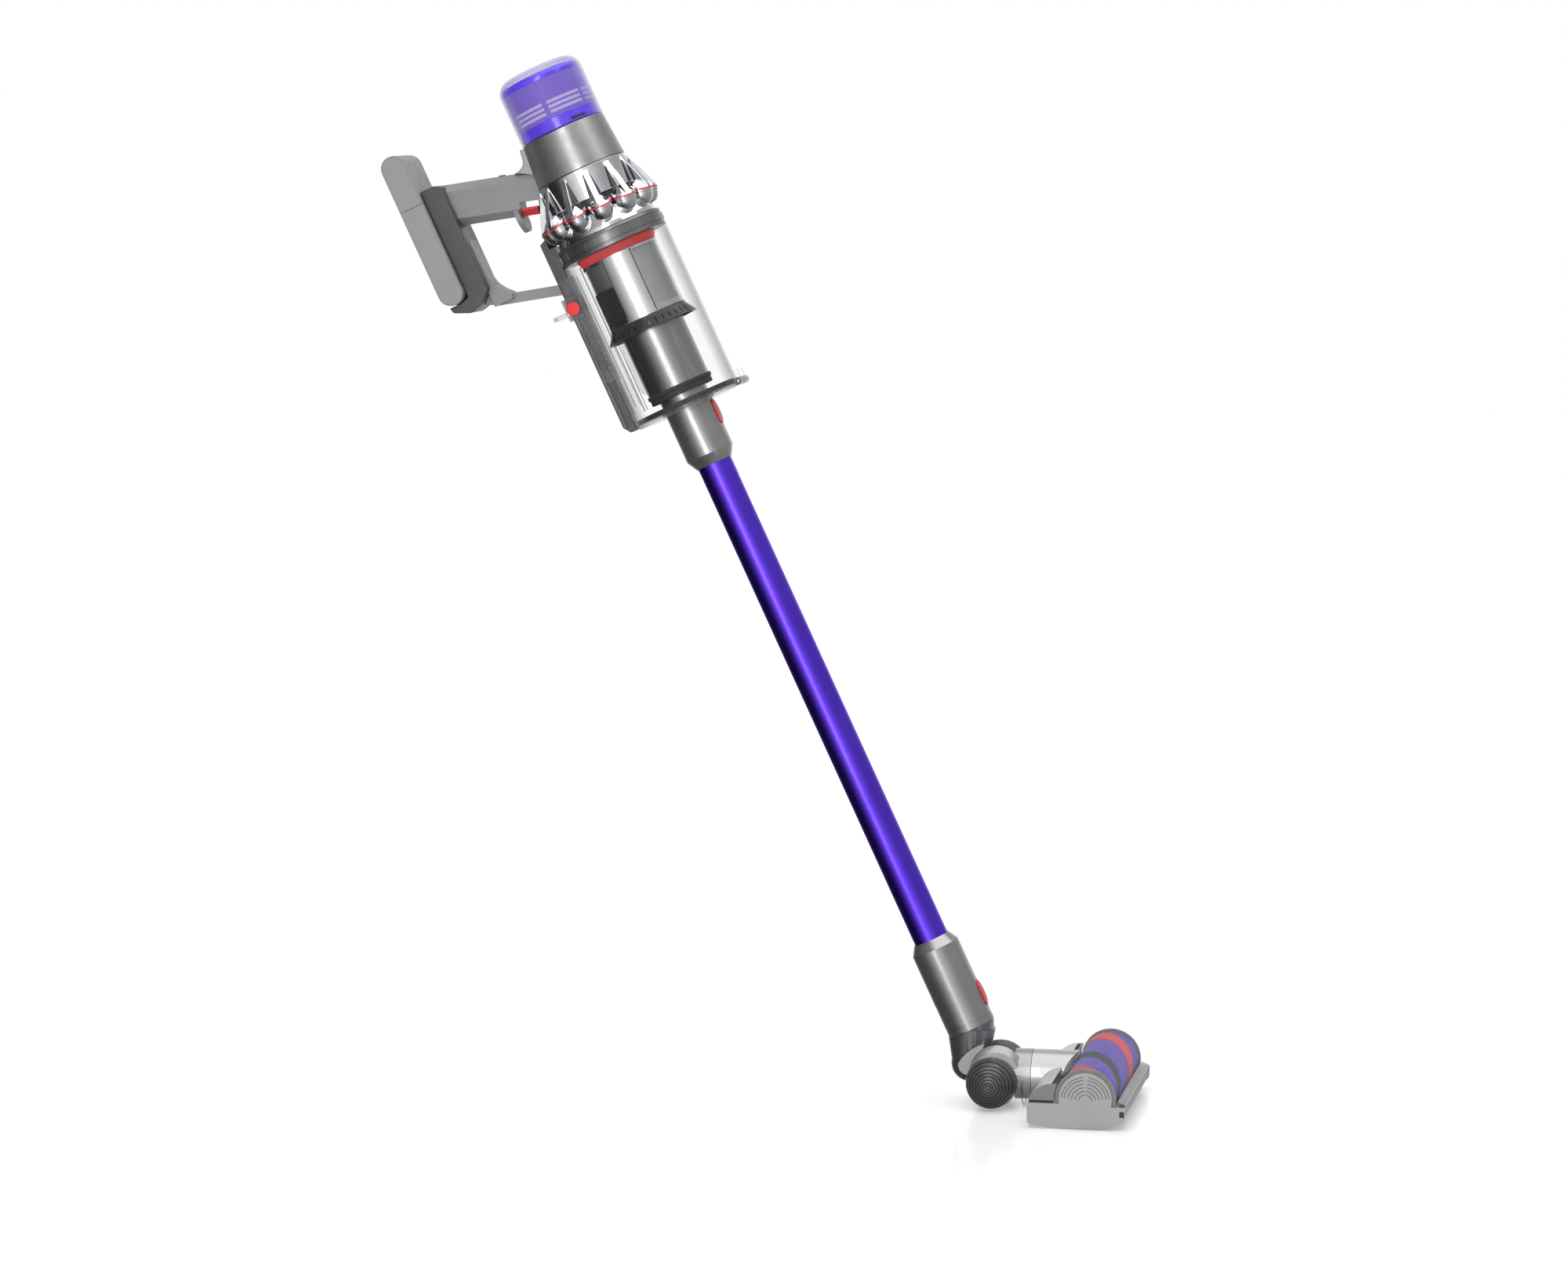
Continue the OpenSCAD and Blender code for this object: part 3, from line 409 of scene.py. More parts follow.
def around_axis(finish, count):
    """A wave that runs count times round the wand axis, and the height up that axis."""
    split = finish.nodes.new("ShaderNodeSeparateXYZ")
    finish.links.new(finish.coords(machine=True), split.inputs["Vector"])
    angle = finish.maths("ARCTAN2", split.outputs["Y"], split.outputs["X"])
    return finish.maths("SINE", finish.maths("MULTIPLY", angle, float(count))), split.outputs["Z"]


def filter_gauze():
    """Woven violet gauze over the pleats: fine upright ribs crossed by finer threads."""
    finish = Finish("filter_gauze", 0.0, 0.5)
    ribs, height = around_axis(finish, 150)
    threads = finish.maths("SINE", finish.maths("MULTIPLY", height, 5200.0))
    weave = finish.weighed(ribs, 0.5, threads, 0.12)
    finish.tone(finish.ranged(weave, 0.0, 1.0, -0.6, 0.6), (0.075, 0.035, 0.34), (0.19, 0.12, 0.53), 0.1, 0.9)
    finish.relief(weave, 0.35, 0.0003)
    finish.shader.inputs["Sheen Weight"].default_value = 0.3
    return finish.material


def filter_slots():
    """Pale pleats seen through the slots."""
    finish = Finish("filter_slots", 0.0, 0.5)
    ribs, _ = around_axis(finish, 150)
    finish.tone(finish.ranged(ribs, 0.0, 1.0, -1.0, 1.0), (0.25, 0.2, 0.45), (0.5, 0.45, 0.68), 0.1, 0.8)
    finish.relief(ribs, 0.5, 0.0003)
    return finish.material


def pleated_fabric():
    finish = Finish("pleated_fabric", 0.0, 0.8)
    at = finish.coords()
    fibre = finish.noise(at, 2200, 4)
    finish.tone(fibre, (0.42, 0.36, 0.66), (0.66, 0.6, 0.84))
    finish.relief(fibre, 0.4, 0.0002)
    finish.shader.inputs["Sheen Weight"].default_value = 0.3
    return finish.material


def perforated_steel():
    """Shroud mesh: rows of small round holes in satin steel."""
    finish = Finish("perforated_steel", 0.9, 0.35)
    ribs, height = around_axis(finish, 220)
    rows = finish.maths("SINE", finish.maths("MULTIPLY", height, 4900.0))
    holes = finish.maths("MULTIPLY", ribs, rows)
    finish.tone(finish.ranged(holes, 0.0, 1.0, -1.0, 1.0), (0.1, 0.1, 0.1), (0.5, 0.5, 0.51), 0.25, 0.6)
    finish.relief(holes, 0.4, 0.0002)
    return finish.material


def brushed_metal(name, dark, light, roughness):
    finish = Finish(name, 1.0, roughness)
    lines = finish.noise(finish.coords((1, 1, 0.02), True), 2200, 3)
    finish.tone(lines, dark, light)
    finish.rough(lines, roughness * 0.8, roughness * 1.2)
    finish.relief(lines, 0.06, 0.0001)
    return finish.material


def machined_steel():
    finish = Finish("machined_steel", 1.0, 0.28)
    marks = finish.noise(finish.coords((1, 0.05, 1)), 1800, 3)
    finish.tone(marks, (0.45, 0.45, 0.46), (0.62, 0.62, 0.63))
    finish.rough(marks, 0.2, 0.36)
    finish.relief(marks, 0.1, 0.0001)
    return finish.material


def knurled_red():
    """Red moulding with a fine diamond grip."""
    finish = Finish("knurled_red", 0.0, 0.38)
    at = finish.coords()
    diamonds = finish.cells(at, 1100)
    finish.tone(diamonds, (0.36, 0.01, 0.012), (0.56, 0.035, 0.035), 0.1, 0.6)
    finish.relief(diamonds, 0.35, 0.0002)
    return finish.material


def soft_rubber():
    finish = Finish("soft_rubber", 0.0, 0.62)
    at = finish.coords()
    speckle = finish.noise(at, 1600, 3)
    finish.tone(speckle, (0.012, 0.012, 0.013), (0.03, 0.03, 0.032))
    finish.relief(speckle, 0.25, 0.0002)
    return finish.material


def copper_turns():
    finish = Finish("copper_turns", 0.8, 0.3)
    wires = finish.maths("SINE", finish.maths("MULTIPLY", around_axis(finish, 1)[1], 9000.0))
    finish.tone(finish.ranged(wires, 0.0, 1.0, -1.0, 1.0), (0.35, 0.12, 0.04), (0.75, 0.34, 0.13), 0.1, 0.9)
    finish.relief(wires, 0.5, 0.0002)
    return finish.material


def fibre_pile(name, dark, light, scale, sheen, along=0.35):
    """Short fibres standing on the roller: clumped, streaked and soft at the edges."""
    finish = Finish(name, 0.0, 0.85)
    tips = finish.noise(finish.coords((1, along, 1)), scale, 4)
    clumps = finish.noise(finish.coords(), 130, 3)
    fibres = finish.weighed(tips, 0.65, clumps, 0.35)
    finish.tone(fibres, dark, light, 0.35, 0.65)
    finish.relief(fibres, 0.9, 0.0012)
    finish.shader.inputs["Sheen Weight"].default_value = sheen
    finish.shader.inputs["Sheen Roughness"].default_value = 0.4
    return finish.material


SATIN_GREY = moulded("satin_grey", (0.36, 0.355, 0.357), (0.42, 0.415, 0.417), 0.27, 0.9, 2600, 0.015)
NECK_GREY = moulded("neck_grey", (0.3, 0.296, 0.298), (0.35, 0.346, 0.348), 0.27, 0.9, 2600, 0.015)
HOUSING_GREY = moulded("housing_grey", (0.3, 0.296, 0.298), (0.36, 0.356, 0.358), 0.3, 0.85, 2600, 0.015)
GRIP_GREY = moulded("grip_grey", (0.19, 0.185, 0.187), (0.225, 0.22, 0.222), 0.36, 0.25, 1500, 0.08)
CASE_GREY = moulded("case_grey", (0.21, 0.205, 0.207), (0.24, 0.235, 0.237), 0.42, 0.0, 1500, 0.08)
SHOE_GREY = moulded("shoe_grey", (0.05, 0.048, 0.049), (0.07, 0.068, 0.069), 0.36, 0.2, 1500, 0.08)
DARK_GREY = moulded("dark_grey", (0.06, 0.058, 0.06), (0.09, 0.088, 0.09), 0.26, 0.5, 1800, 0.1)
WHEEL_GREY = moulded("wheel_grey", (0.085, 0.083, 0.085), (0.12, 0.118, 0.12), 0.3, 0.4, 1800, 0.1)
BLACK_PLASTIC = moulded("black_plastic", (0.012, 0.012, 0.013), (0.024, 0.024, 0.026), 0.24, 0.0, 1800, 0.1)
PALE_GREY = moulded("pale_grey", (0.46, 0.456, 0.46), (0.54, 0.536, 0.54), 0.26, 0.5, 2200, 0.015)
YOKE_GREY = moulded("yoke_grey", (0.36, 0.356, 0.36), (0.43, 0.426, 0.43), 0.27, 0.45, 2200, 0.015)
BORDER_GREY = moulded("border_grey", (0.17, 0.166, 0.168), (0.21, 0.206, 0.208), 0.36, 0.1, 1500, 0.08)
CAP_GREY = moulded("cap_grey", (0.32, 0.314, 0.317), (0.38, 0.374, 0.377), 0.34, 0.1, 1500, 0.08)
VIOLET_FRAME = moulded("violet_frame", (0.07, 0.025, 0.6), (0.11, 0.045, 0.8), 0.14, 0.1, 1400, 0.04, 0.5)
RED_GLOSS = moulded("red_gloss", (0.58, 0.006, 0.01), (0.7, 0.015, 0.018), 0.22, 0.0, 1400, 0.03, 0.4)
RED_KNURL = knurled_red()
BOARD_GREEN = moulded("board_green", (0.01, 0.09, 0.04), (0.02, 0.16, 0.07), 0.3, 0.0, 900, 0.2, 0.5)
CELL_WRAP = moulded("cell_wrap", (0.05, 0.16, 0.42), (0.08, 0.22, 0.52), 0.3, 0.0, 700, 0.1, 0.4)
COLLAR_GREY = moulded("collar_grey", (0.17, 0.167, 0.168), (0.22, 0.216, 0.218), 0.28, 0.85, 2200, 0.03)
CHROME = polished_chrome()
VIOLET_TUBE = anodised_violet()
GAUZE = filter_gauze()
SLOT_PLEATS = filter_slots()
PLEATS = pleated_fabric()
MESH_STEEL = perforated_steel()
BRIGHT_METAL = brushed_metal("bright_metal", (0.6, 0.6, 0.61), (0.72, 0.72, 0.73), 0.22)
DUST_METAL = brushed_metal("dust_metal", (0.3, 0.297, 0.3), (0.4, 0.397, 0.4), 0.26)
STEEL = machined_steel()
RUBBER = soft_rubber()
COPPER = copper_turns()
CLEAR = clear_moulding("clear_bin", (0.22, 0.225, 0.23), (0.34, 0.345, 0.35), 0.015, 0.5)
CLEAR_CAP = clear_moulding("clear_cap", (0.3, 0.25, 0.6), (0.4, 0.35, 0.7), 0.02, 0.62)
CLEAR_COVER = clear_moulding("clear_cover", (0.3, 0.3, 0.31), (0.42, 0.42, 0.43), 0.06, 0.6, 0.9, 0.04)
CLEAR_THICK = clear_moulding("clear_thick", (0.14, 0.145, 0.15), (0.3, 0.305, 0.31), 0.2, 0.85, 0.2)
RAIL_CLEAR = clear_moulding("rail_clear", (0.1, 0.102, 0.105), (0.2, 0.202, 0.205), 0.35, 0.9, 0.1)
# Dark, nearly opaque clear moulding: painted shade for the recess on the shroud's left.
SHROUD_SHADE = clear_moulding("shroud_shade_film", (0.012, 0.011, 0.012), (0.03, 0.028, 0.029), 0.72, 0.95, 0.2)
VIOLET_PILE = fibre_pile("violet_pile", (0.05, 0.022, 0.3), (0.17, 0.1, 0.62), 900, 0.12)
RED_FIBRE = fibre_pile("red_fibre", (0.6, 0.012, 0.015), (0.85, 0.06, 0.05), 1400, 0.2)
DARK_FIBRE = fibre_pile("dark_fibre", (0.012, 0.012, 0.013), (0.04, 0.04, 0.043), 1400, 0.1)


# ---------------------------------------------------------------- filter

def make_filter():
    """Clear cap over two violet bands, the gauze between them and its rows of slots."""
    shell = turned([(CAP_INNER_R, 1155.5), (CAP_OUTER_R, 1155.5, 0.5), (CAP_OUTER_R, 1228.6, 15), (0, 1230.4),
                    (0, 1228.2), (CAP_INNER_R, 1226.4, 13)])
    piece("filter_shell", shell, "filter", CLEAR_CAP, ["filter_cap"])
    base = turned([(34.5, 1156.0), (45.2, 1156.0, 0.6), (45.2, GAUZE_LOW, 0.4), (34.5, GAUZE_LOW)])
    crown = turned([(0, 1214.0), (45.2, GAUZE_TOP - 0.2, 0.4), (45.2, 1220.5, 4), (38, 1221.5, 1.5),
                    (36, 1218.5, 1), (0, 1219.5)])
    piece("filter_bands", joined(base, crown), "filter", VIOLET_FRAME, ["filter_frame"])
    sleeve = turned(oblong(44.0, 44.9, GAUZE_LOW, GAUZE_TOP), 144)
    piece("filter_sleeve", sleeve, "filter", GAUZE)
    rows = [swept(oblong(44.6, 45.4, low, low + 3.5, 0.3), SLOT_START, SLOT_START + SLOT_SWEEP)
            for low in SLOT_LEVELS]
    slots = around(joined(*rows), [SLOT_START + 60 * i for i in range(6)])
    piece("filter_slots", slots, "filter", SLOT_PLEATS)
    marks = around(swept(oblong(45.0, 45.6, 1158.2, 1161.4, 0.2), -60, -36), [-60, 60, 180])
    piece("filter_marks", marks, "filter", BLACK_PLASTIC)
    dressed(["filter_media"], PLEATS)


# ---------------------------------------------------------------- motor housing and crown of cyclones

def make_housing():
    """Tapered motor housing with the spine that carries the handle."""
    body = turned([(46.5, HOUSING_LOW), (52.0, HOUSING_LOW, 0.5), (48.1, HOUSING_TOP, 0.6),
                   (44.5, HOUSING_TOP)])
    piece("housing_body", body, "main_body", HOUSING_GREY, ["motor_housing"])
    spine = slab([(-46, 1122), (-60, 1130), (-68, 1134.0), (-61.5, 1134.4, 3), (-53.6, 1139, 5),
                  (-51.6, HOUSING_TOP - 0.3, 1), (-45, HOUSING_TOP - 0.3)], -12, 12, 3.5, 4)
    low_spine = slab([(-47, 1106), (-54.0, 1106, 0.5), (-53.0, 1132), (-46, 1132)], -10, 10, 3, 4)
    piece("housing_spine", joined(spine, low_spine), "main_body", HOUSING_GREY)
    dressed(["motor_bucket", "impeller"], BLACK_PLASTIC)
    dressed(["motor_stator"], COPPER)
    dressed(["motor_bearings", "motor_rotor"], STEEL)


def cyclone_ring(bm, radius=0.0):
    """The shape moved out to the radius and repeated for every cyclone."""
    angles = [(i + 0.5) * CYCLONE_PITCH for i in range(CYCLONES)]
    return around(turn(move(bm, radius, 0, 0), angles[0]), angles)


def waved_strips(corners):
    """Strips round the outer side of every cyclone, their ends lifted so that neighbours meet in a point."""
    strip = swept(corners, -STRIP_REACH, STRIP_REACH, 28)
    for vert in strip.verts:
        swing = abs(math.degrees(math.atan2(vert.co.y, vert.co.x))) / STRIP_REACH
        vert.co.z += STRIP_RISE * min(1.0, swing) ** 2.4
    return cyclone_ring(strip, CYCLONE_R)


def make_crown():
    """Ribbed chrome manifold over a ring of domed cyclones, with the red gasket winding between them."""
    band = turned([(46.5, MANIFOLD_LOW), (52.4, MANIFOLD_LOW, 0.6), (52.2, MANIFOLD_TOP, 0.5),
                   (46.5, MANIFOLD_TOP)])
    ribs = cyclone_ring(slab([(46, 1060), (69.2, 1060, 1), (66.2, 1068, 4), (61.8, 1081, 6), (56.2, 1092, 5),
                              (52.6, 1102.6, 2), (46, 1102.6)], -3.5, 3.5, 3.1, 5))
    piece("crown_manifold", joined(band, ribs), "main_body", CHROME, ["cyclone_manifold"])
    # A black ring in the gap under the manifold, seen between the cyclones: painted shade.
    gap_shade = turned([(44, 1043), (50.5, 1043), (48.8, 1072), (44, 1072)])
    piece("crown_gap_shade", gap_shade, "main_body", BLACK_PLASTIC)
    # Black teardrops either side of each rib, narrower above the waist: painted shade beside the ribs.
    rib_shade = slab([(48, 1072), (54.2, 1072), (53.1, 1098, 3), (48, 1098)], -7.2, 7.2, 0.8, 2)
    for vert in rib_shade.verts:
        if vert.co.z > RIB_SHADE_WAIST:
            vert.co.y *= RIB_SHADE_NARROWING
    piece("crown_rib_shade", cyclone_ring(rib_shade), "main_body", BLACK_PLASTIC)
    hat = turned([(0, 1071), (4.5, 1070.2, 1), (12.6, 1060.4, 1.2), (13.5, 1057.2), (0, 1057.2)], 10)
    hats = piece("crown_hats", cyclone_ring(hat, CYCLONE_R), "main_body", CHROME)
    hats.data.shade_flat()
    dome = turned([(0, 1041.6), (5.6, 1041.9, 2), (10.3, 1045.5, 3), (12.5, 1051, 2), (12.8, 1055.6, 0.6),
                   (0, 1055.6)], 20)
    tent = turned([(49, 1034.2), (58.2, 1034.2, 0.5), (57.6, 1038.5, 0.5), (52.5, 1054.5), (49, 1054.5)])
    piece("crown_domes", joined(cyclone_ring(dome, CYCLONE_R), tent), "main_body", CHROME,
          ["cyclone_domes"])
    gasket = waved_strips(oblong(12.0, 14.3, GASKET_LOW, GASKET_TOP, 0.2))
    piece("crown_gasket", gasket, "main_body", RED_GLOSS, ["cyclone_gasket"])
    lip = waved_strips([(11.6, GASKET_TOP), (13.9, GASKET_TOP, 0.3), (13.2, 1060.3, 0.6), (11.6, 1060.3)])
    under = waved_strips([(11.6, 1052.8), (13.4, 1052.8, 0.3), (13.9, GASKET_LOW, 0.3), (11.6, GASKET_LOW)])
    piece("crown_lips", joined(lip, under), "main_body", CHROME)
    dressed(["cyclone_cones"], DARK_GREY)


# ---------------------------------------------------------------- bin, shroud and runner

def make_bin_collar():
    """Grooved ring under the crown that the bin closes against."""
    outer_r, groove_r = 61.3, 60.3
    side = []
    for groove in (1018.6, 1028.6):
        side += [(outer_r, groove, 0.2), (groove_r, groove + 0.3), (groove_r, groove + 1.4),
                 (outer_r, groove + 1.7, 0.2)]
    ring = turned([(44.8, COLLAR_LOW), (outer_r, COLLAR_LOW, 0.5), *side, (60.6, COLLAR_TOP, 0.8),
                   (50, COLLAR_TOP), (50, 1031), (57.5, 1031), (57.5, 1017), (44.8, 1017)])
    first = -78
    ribs = around(box((60.6, -0.7, 1020.4), (61.9, 0.7, 1028.5), 0.3), [first + 30 * i for i in range(12)])
    piece("bin_collar_ring", joined(ring, turn(ribs, first)), "main_body", COLLAR_GREY,
          ["bin_collar"])


def make_shroud():
    """What stands fixed inside the bin: shroud, skirt, dust cylinder and fin."""
    broken_edges("shroud", "main_body", BRIGHT_METAL, 0.25)
    broken_edges("shroud_band", "main_body", RED_KNURL, 0.2)
    broken_edges("shroud_skirt", "main_body", BLACK_PLASTIC, 0.0)
    broken_edges("dust_cylinder", "main_body", DUST_METAL, 0.3)
    broken_edges("dust_fin", "main_body", CLEAR_THICK, 0.3)
    broken_edges("inlet_seal", "main_body", RUBBER, 0.4)
    dressed(["shroud_mesh"], MESH_STEEL)
    # A dark translucent patch low on the shroud's left: painted shade of the recess there.
    shade_patch = swept(oblong(44.6, 45.1, SHROUD_LOW, 973.0, 0.2), -152, -108, 16)
    piece("shroud_shade_patch", shade_patch, "main_body", SHROUD_SHADE)
    step = oblong(44.4, 45.2, SHROUD_LOW, SHROUD_TOP, 0.3)
    steps = joined(*[swept(step, start, start + 1.6, 2) for start in (-106.5, -63.0, 60.0, 105.0)])
    piece("shroud_steps", steps, "main_body", DARK_GREY)


def bin_rail(start, width, height, low, high):
    """A thin upright rail on the bin's outer wall."""
    return swept(oblong(BIN_OUTER_R, BIN_OUTER_R + height, low, high, 0.3), start, start + width, 3)


def hinge_knuckle(start, end, low, high):
    """One ring of the door's hinge, from start to end along the pin that lies between two corners."""
    ring = turn(turned(oblong(2.2, 4.4, start, end, 0.5), 20), -90, "X")
    return move(ring, (low.x + high.x) / 2, 0, (low.z + high.z) / 2)


def make_bin():
    """Clear bin with its rails, lever, door and hinge, and the fixed runner behind it."""
    broken_edges("bin_shell", "bin", CLEAR, 0.4)
    broken_edges("bin_guides", "bin", CLEAR_THICK, 0.4)
    broken_edges("bin_lever", "bin_lever", CLEAR_THICK, 0.4)
    broken_edges("bin_door", "bin_door", CLEAR_THICK, 0.3)
    broken_edges("door_seal", "bin_door", RUBBER, 0.3)
    dressed(["door_pin"], STEEL)
    rails = joined(bin_rail(-151, 1.0, 1.3, 836, 1012), bin_rail(-146.5, 0.7, 0.8, 836, 1004),
                   bin_rail(-138, 0.8, 0.8, 842, 1000), bin_rail(-129, 0.6, 0.6, 842, 918))
    piece("bin_rails", mirrored(rails), "bin", RAIL_CLEAR)
    pin = [FLOOR.inverted() @ Vector(corner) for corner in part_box("door_pin")]
    knuckles = [hinge_knuckle(start, end, *pin)
                for start, end in ((-24, -15), (-13.5, -5), (-3.5, 3.5), (5, 13.5), (15, 24))]
    piece("bin_hinge", joined(*knuckles), "bin", RAIL_CLEAR, (), FLOOR)
    broken_edges("bin_runner", "main_body", DARK_GREY, 1.2)
    disc = turn(turned([(0, 16.8), (8, 16.8), (8, 19.4, 0.5), (7.2, 20.2, 0.4), (0, 20.4)], 48), -90, "X")
    piece("lever_discs", mirrored(move(disc, -69, 0, 971)), "bin_lever", RED_GLOSS)


# ---------------------------------------------------------------- handle and battery

def make_handle():
    """Grip, finger guard and battery shoe, with the trigger and the mode button."""
    broken_edges("grip_bar", "main_body", GRIP_GREY, 1.0)
    broken_edges("finger_guard", "main_body", GRIP_GREY, 0.8)
    broken_edges("battery_shoe", "main_body", SHOE_GREY, 1.5)
    broken_edges("handle_strut", "main_body", GRIP_GREY, 1.6)
    gusset = slab([(-150, 1010), (-126, 1010), (-126, 1016.5, 6), (-138, 1026, 12), (-143.4, 1040, 16),
                   (-145.0, 1088), (-150, 1090)], -16, 16, 1.5, 4)
    piece("handle_gusset", gusset, "main_body", GRIP_GREY)
    gap = slab([(-171.5, 1046, 1), (-169.6, 1046, 1), (-169.6, 1156, 1), (-171.5, 1156, 1)], -31, 31, 0.4, 2)
    piece("shoe_gap", gap, "main_body", BLACK_PLASTIC)
    broken_edges("trigger", "trigger", RED_KNURL, 0.5)
    broken_edges("mode_button", "mode_button", BLACK_PLASTIC, 0.4)
    dressed(["control_board"], BOARD_GREEN)


def capsule(low, high, inset, round_low=True, round_high=True):
    """The battery's side outline: a straight strip whose ends are full rounds or nearly square."""
    rear, front = BATTERY_REAR + inset, BATTERY_FRONT - inset
    full_round, nearly_square = 14.1 - inset, 0.05
    low_turn = full_round if round_low else nearly_square
    high_turn = full_round if round_high else nearly_square
    return [(rear, low, low_turn), (front, low, low_turn), (front, high, high_turn), (rear, high, high_turn)]


def two_slabs(inset, gap, *thickness):
    """The battery's outline in two lengths, each stopping gap millimetres short of the seam."""
    low = capsule(BATTERY_LOW + inset, BATTERY_SEAM - gap, inset, True, False)
    high = capsule(BATTERY_SEAM + gap, BATTERY_TOP - inset, inset, False, True)
    return joined(slab(low, *thickness), slab(high, *thickness))


def make_battery():
    """Battery case with raised side panels and a dark seam across it."""
    body = two_slabs(0, 0.2, -BATTERY_HALF_W, BATTERY_HALF_W, 1.5, 4)
    panels = two_slabs(1.6, 0.3, BATTERY_HALF_W - 0.3, BATTERY_HALF_W + 0.5, 0.3, 2)
    piece("battery_body", joined(body, mirrored(panels)), "main_body", CASE_GREY,
          ["battery_case"])
    core = slab(capsule(BATTERY_LOW + 2, BATTERY_TOP - 2, 2.0), -35.5, 35.5)
    piece("battery_seam", core, "main_body", BLACK_PLASTIC)
    dressed(["battery_cells"], CELL_WRAP)
    dressed(["case_screws"], STEEL)
    dressed(["charge_socket"], BLACK_PLASTIC)


# ---------------------------------------------------------------- wand and neck

def make_wand():
    """Violet tube between its collars, down to the elbow above the wheels."""
    broken_edges("wand_tube", "main_body", VIOLET_TUBE, 0.2)
    broken_edges("wand_upper_collar", "main_body", SATIN_GREY, 0.0)
    broken_edges("wand_lower_collar", "main_body", SATIN_GREY, 0.0)
    broken_edges("inlet_collar", "main_body", SATIN_GREY, 0.0)
    broken_edges("release_button_upper", "release_upper", RED_KNURL, 0.3)
    broken_edges("release_button_lower", "release_lower", RED_KNURL, 0.3)
    broken_edges("neck_connector", "main_body", SATIN_GREY, 0.0)
    broken_edges("elbow_tube", "main_body", NECK_GREY, 0.0)


def wheel_section(face, depth):
    """Corners of a domed wheel's section, with rings cut into the dome."""
    corners = [(3.9, face), (28.4, face, 0.6), (WHEEL_R, face + 4.5, 1.0)]
    for radius in WHEEL_RINGS:
        dome = face + 3.2 + (depth - 3.4) * math.sqrt(1 - (radius / 28.2) ** 2)
        corners += [(radius + 0.6, dome - 0.2, 0.2), (radius + 0.1, dome - 1.6),
                    (radius - 0.4, dome + 0.2, 0.2)]
    return corners + [(0, face + depth - 0.2), (0, face + depth - 3), (3.9, face + depth - 4)]


def make_wheels():
    """The two domed wheels and the yoke that they turn on."""
    _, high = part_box("wheel_left")
    corners = wheel_section(WHEEL_FACE_Y, high.y / MM - WHEEL_FACE_Y)
    for name, side in (("wheel_left", 1), ("wheel_right", -1)):
        disc = turn(turned(corners), -90, "X")
        bmesh.ops.scale(disc, vec=(1, side, 1), verts=disc.verts[:])
        piece(name + "_dome", move(disc, 0, 0, WHEEL_R), name, WHEEL_GREY, [name], FLOOR)
    dressed(["wheel_axle"], STEEL)
    broken_edges("yoke", "neck", YOKE_GREY, 0.0)


# ---------------------------------------------------------------- floor head

def wound_band(middle, width, radius, low, high):
    """One strip of the covering, wound round the roller; middle and width are angles at the far end."""
    length = high.y - low.y
    lead = length * 360 / ROLLER_TWIST
    half = lead * width / 360 / 2
    start = low.y - lead / 2
    turns, steps = 2, 216
    band = open_outline(oblong(22.4, radius, -half, half, 0.8))
    turn(band, ROLLER_TWIST * (high.y - start) / length - middle)
    move(band, 0, 0, start)
    bmesh.ops.spin(band, geom=band.verts[:] + band.edges[:], cent=(0, 0, 0), axis=(0, 0, -1),
                   dvec=(0, 0, turns * lead / steps), angle=turns * math.tau, steps=steps, use_merge=False,
                   use_duplicate=False)
    bmesh.ops.remove_doubles(band, verts=band.verts[:], dist=WELD)
    for level, side in ((low.y, -1), (high.y, 1)):
        bmesh.ops.bisect_plane(band, geom=band.verts[:] + band.edges[:] + band.faces[:],
                               plane_co=(0, 0, level), plane_no=(0, 0, side), clear_outer=True)
        rim = [e for e in band.edges if e.is_boundary and all(abs(v.co.z - level) < 0.01 for v in e.verts)]
        bmesh.ops.holes_fill(band, edges=rim)
    turn(band, -90, "X")
    return move(band, (low.x + high.x) / 2, 0, (low.z + high.z) / 2)


def make_roller():
    """The four strips of the covering, side by side all the way round."""
    corners = [FLOOR.inverted() @ Vector(corner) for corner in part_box("brush_pile")]
    strips = [("roller_red_strip", 140, 70, 31.6, "red_bristle", RED_FIBRE, ["brush_bristles"]),
              ("roller_dark_strip", 341, 56, 30.6, "dark_bristle", DARK_FIBRE, ["brush_dark_strip"]),
              ("roller_pile_wide", 244, 137, 31.2, "violet_pile", VIOLET_PILE, ["brush_pile"]),
              ("roller_pile_narrow", 57, 95, 31.2, "violet_pile", VIOLET_PILE, ())]
    for name, middle, width, radius, slot, material, stands_for in strips:
        band = wound_band(middle, width, radius, *corners)
        piece(name, band, "brush_roller", material, stands_for, FLOOR)


def arch(radius, start, end, count=20):
    """Points of an arc round the roller, as seen from the side."""
    angles = [math.radians(start + (end - start) * i / count) for i in range(count + 1)]
    return [(ROLLER_X + radius * math.cos(a), ROLLER_Z + radius * math.sin(a)) for a in angles]


def cap_vents():
    """Dark arcs, seam and catch of the near end cap."""
    marks = []
    for radius in (7.0, 11.0, 15.0, 19.0, 23.0, 26.2):
        section = oblong(radius, radius + 0.7, HEAD_HALF_W - 0.4, HEAD_HALF_W + 0.04)
        for start in (8, 96):
            mark = swept(section, start, start + 76, 16)
            marks.append(move(turn(mark, 90, "X"), ROLLER_X, 0, ROLLER_Z - 2))
    marks.append(slab(oblong(54, 81, 28, 30), -122.4, -118.2))
    marks.append(slab([(153.2, 14.5, 0.6), (158.4, 14.5, 0.6), (158.4, 21, 0.6), (153.2, 21, 0.6)],
                      -HEAD_HALF_W - 0.05, -121))
    return joined(*marks)


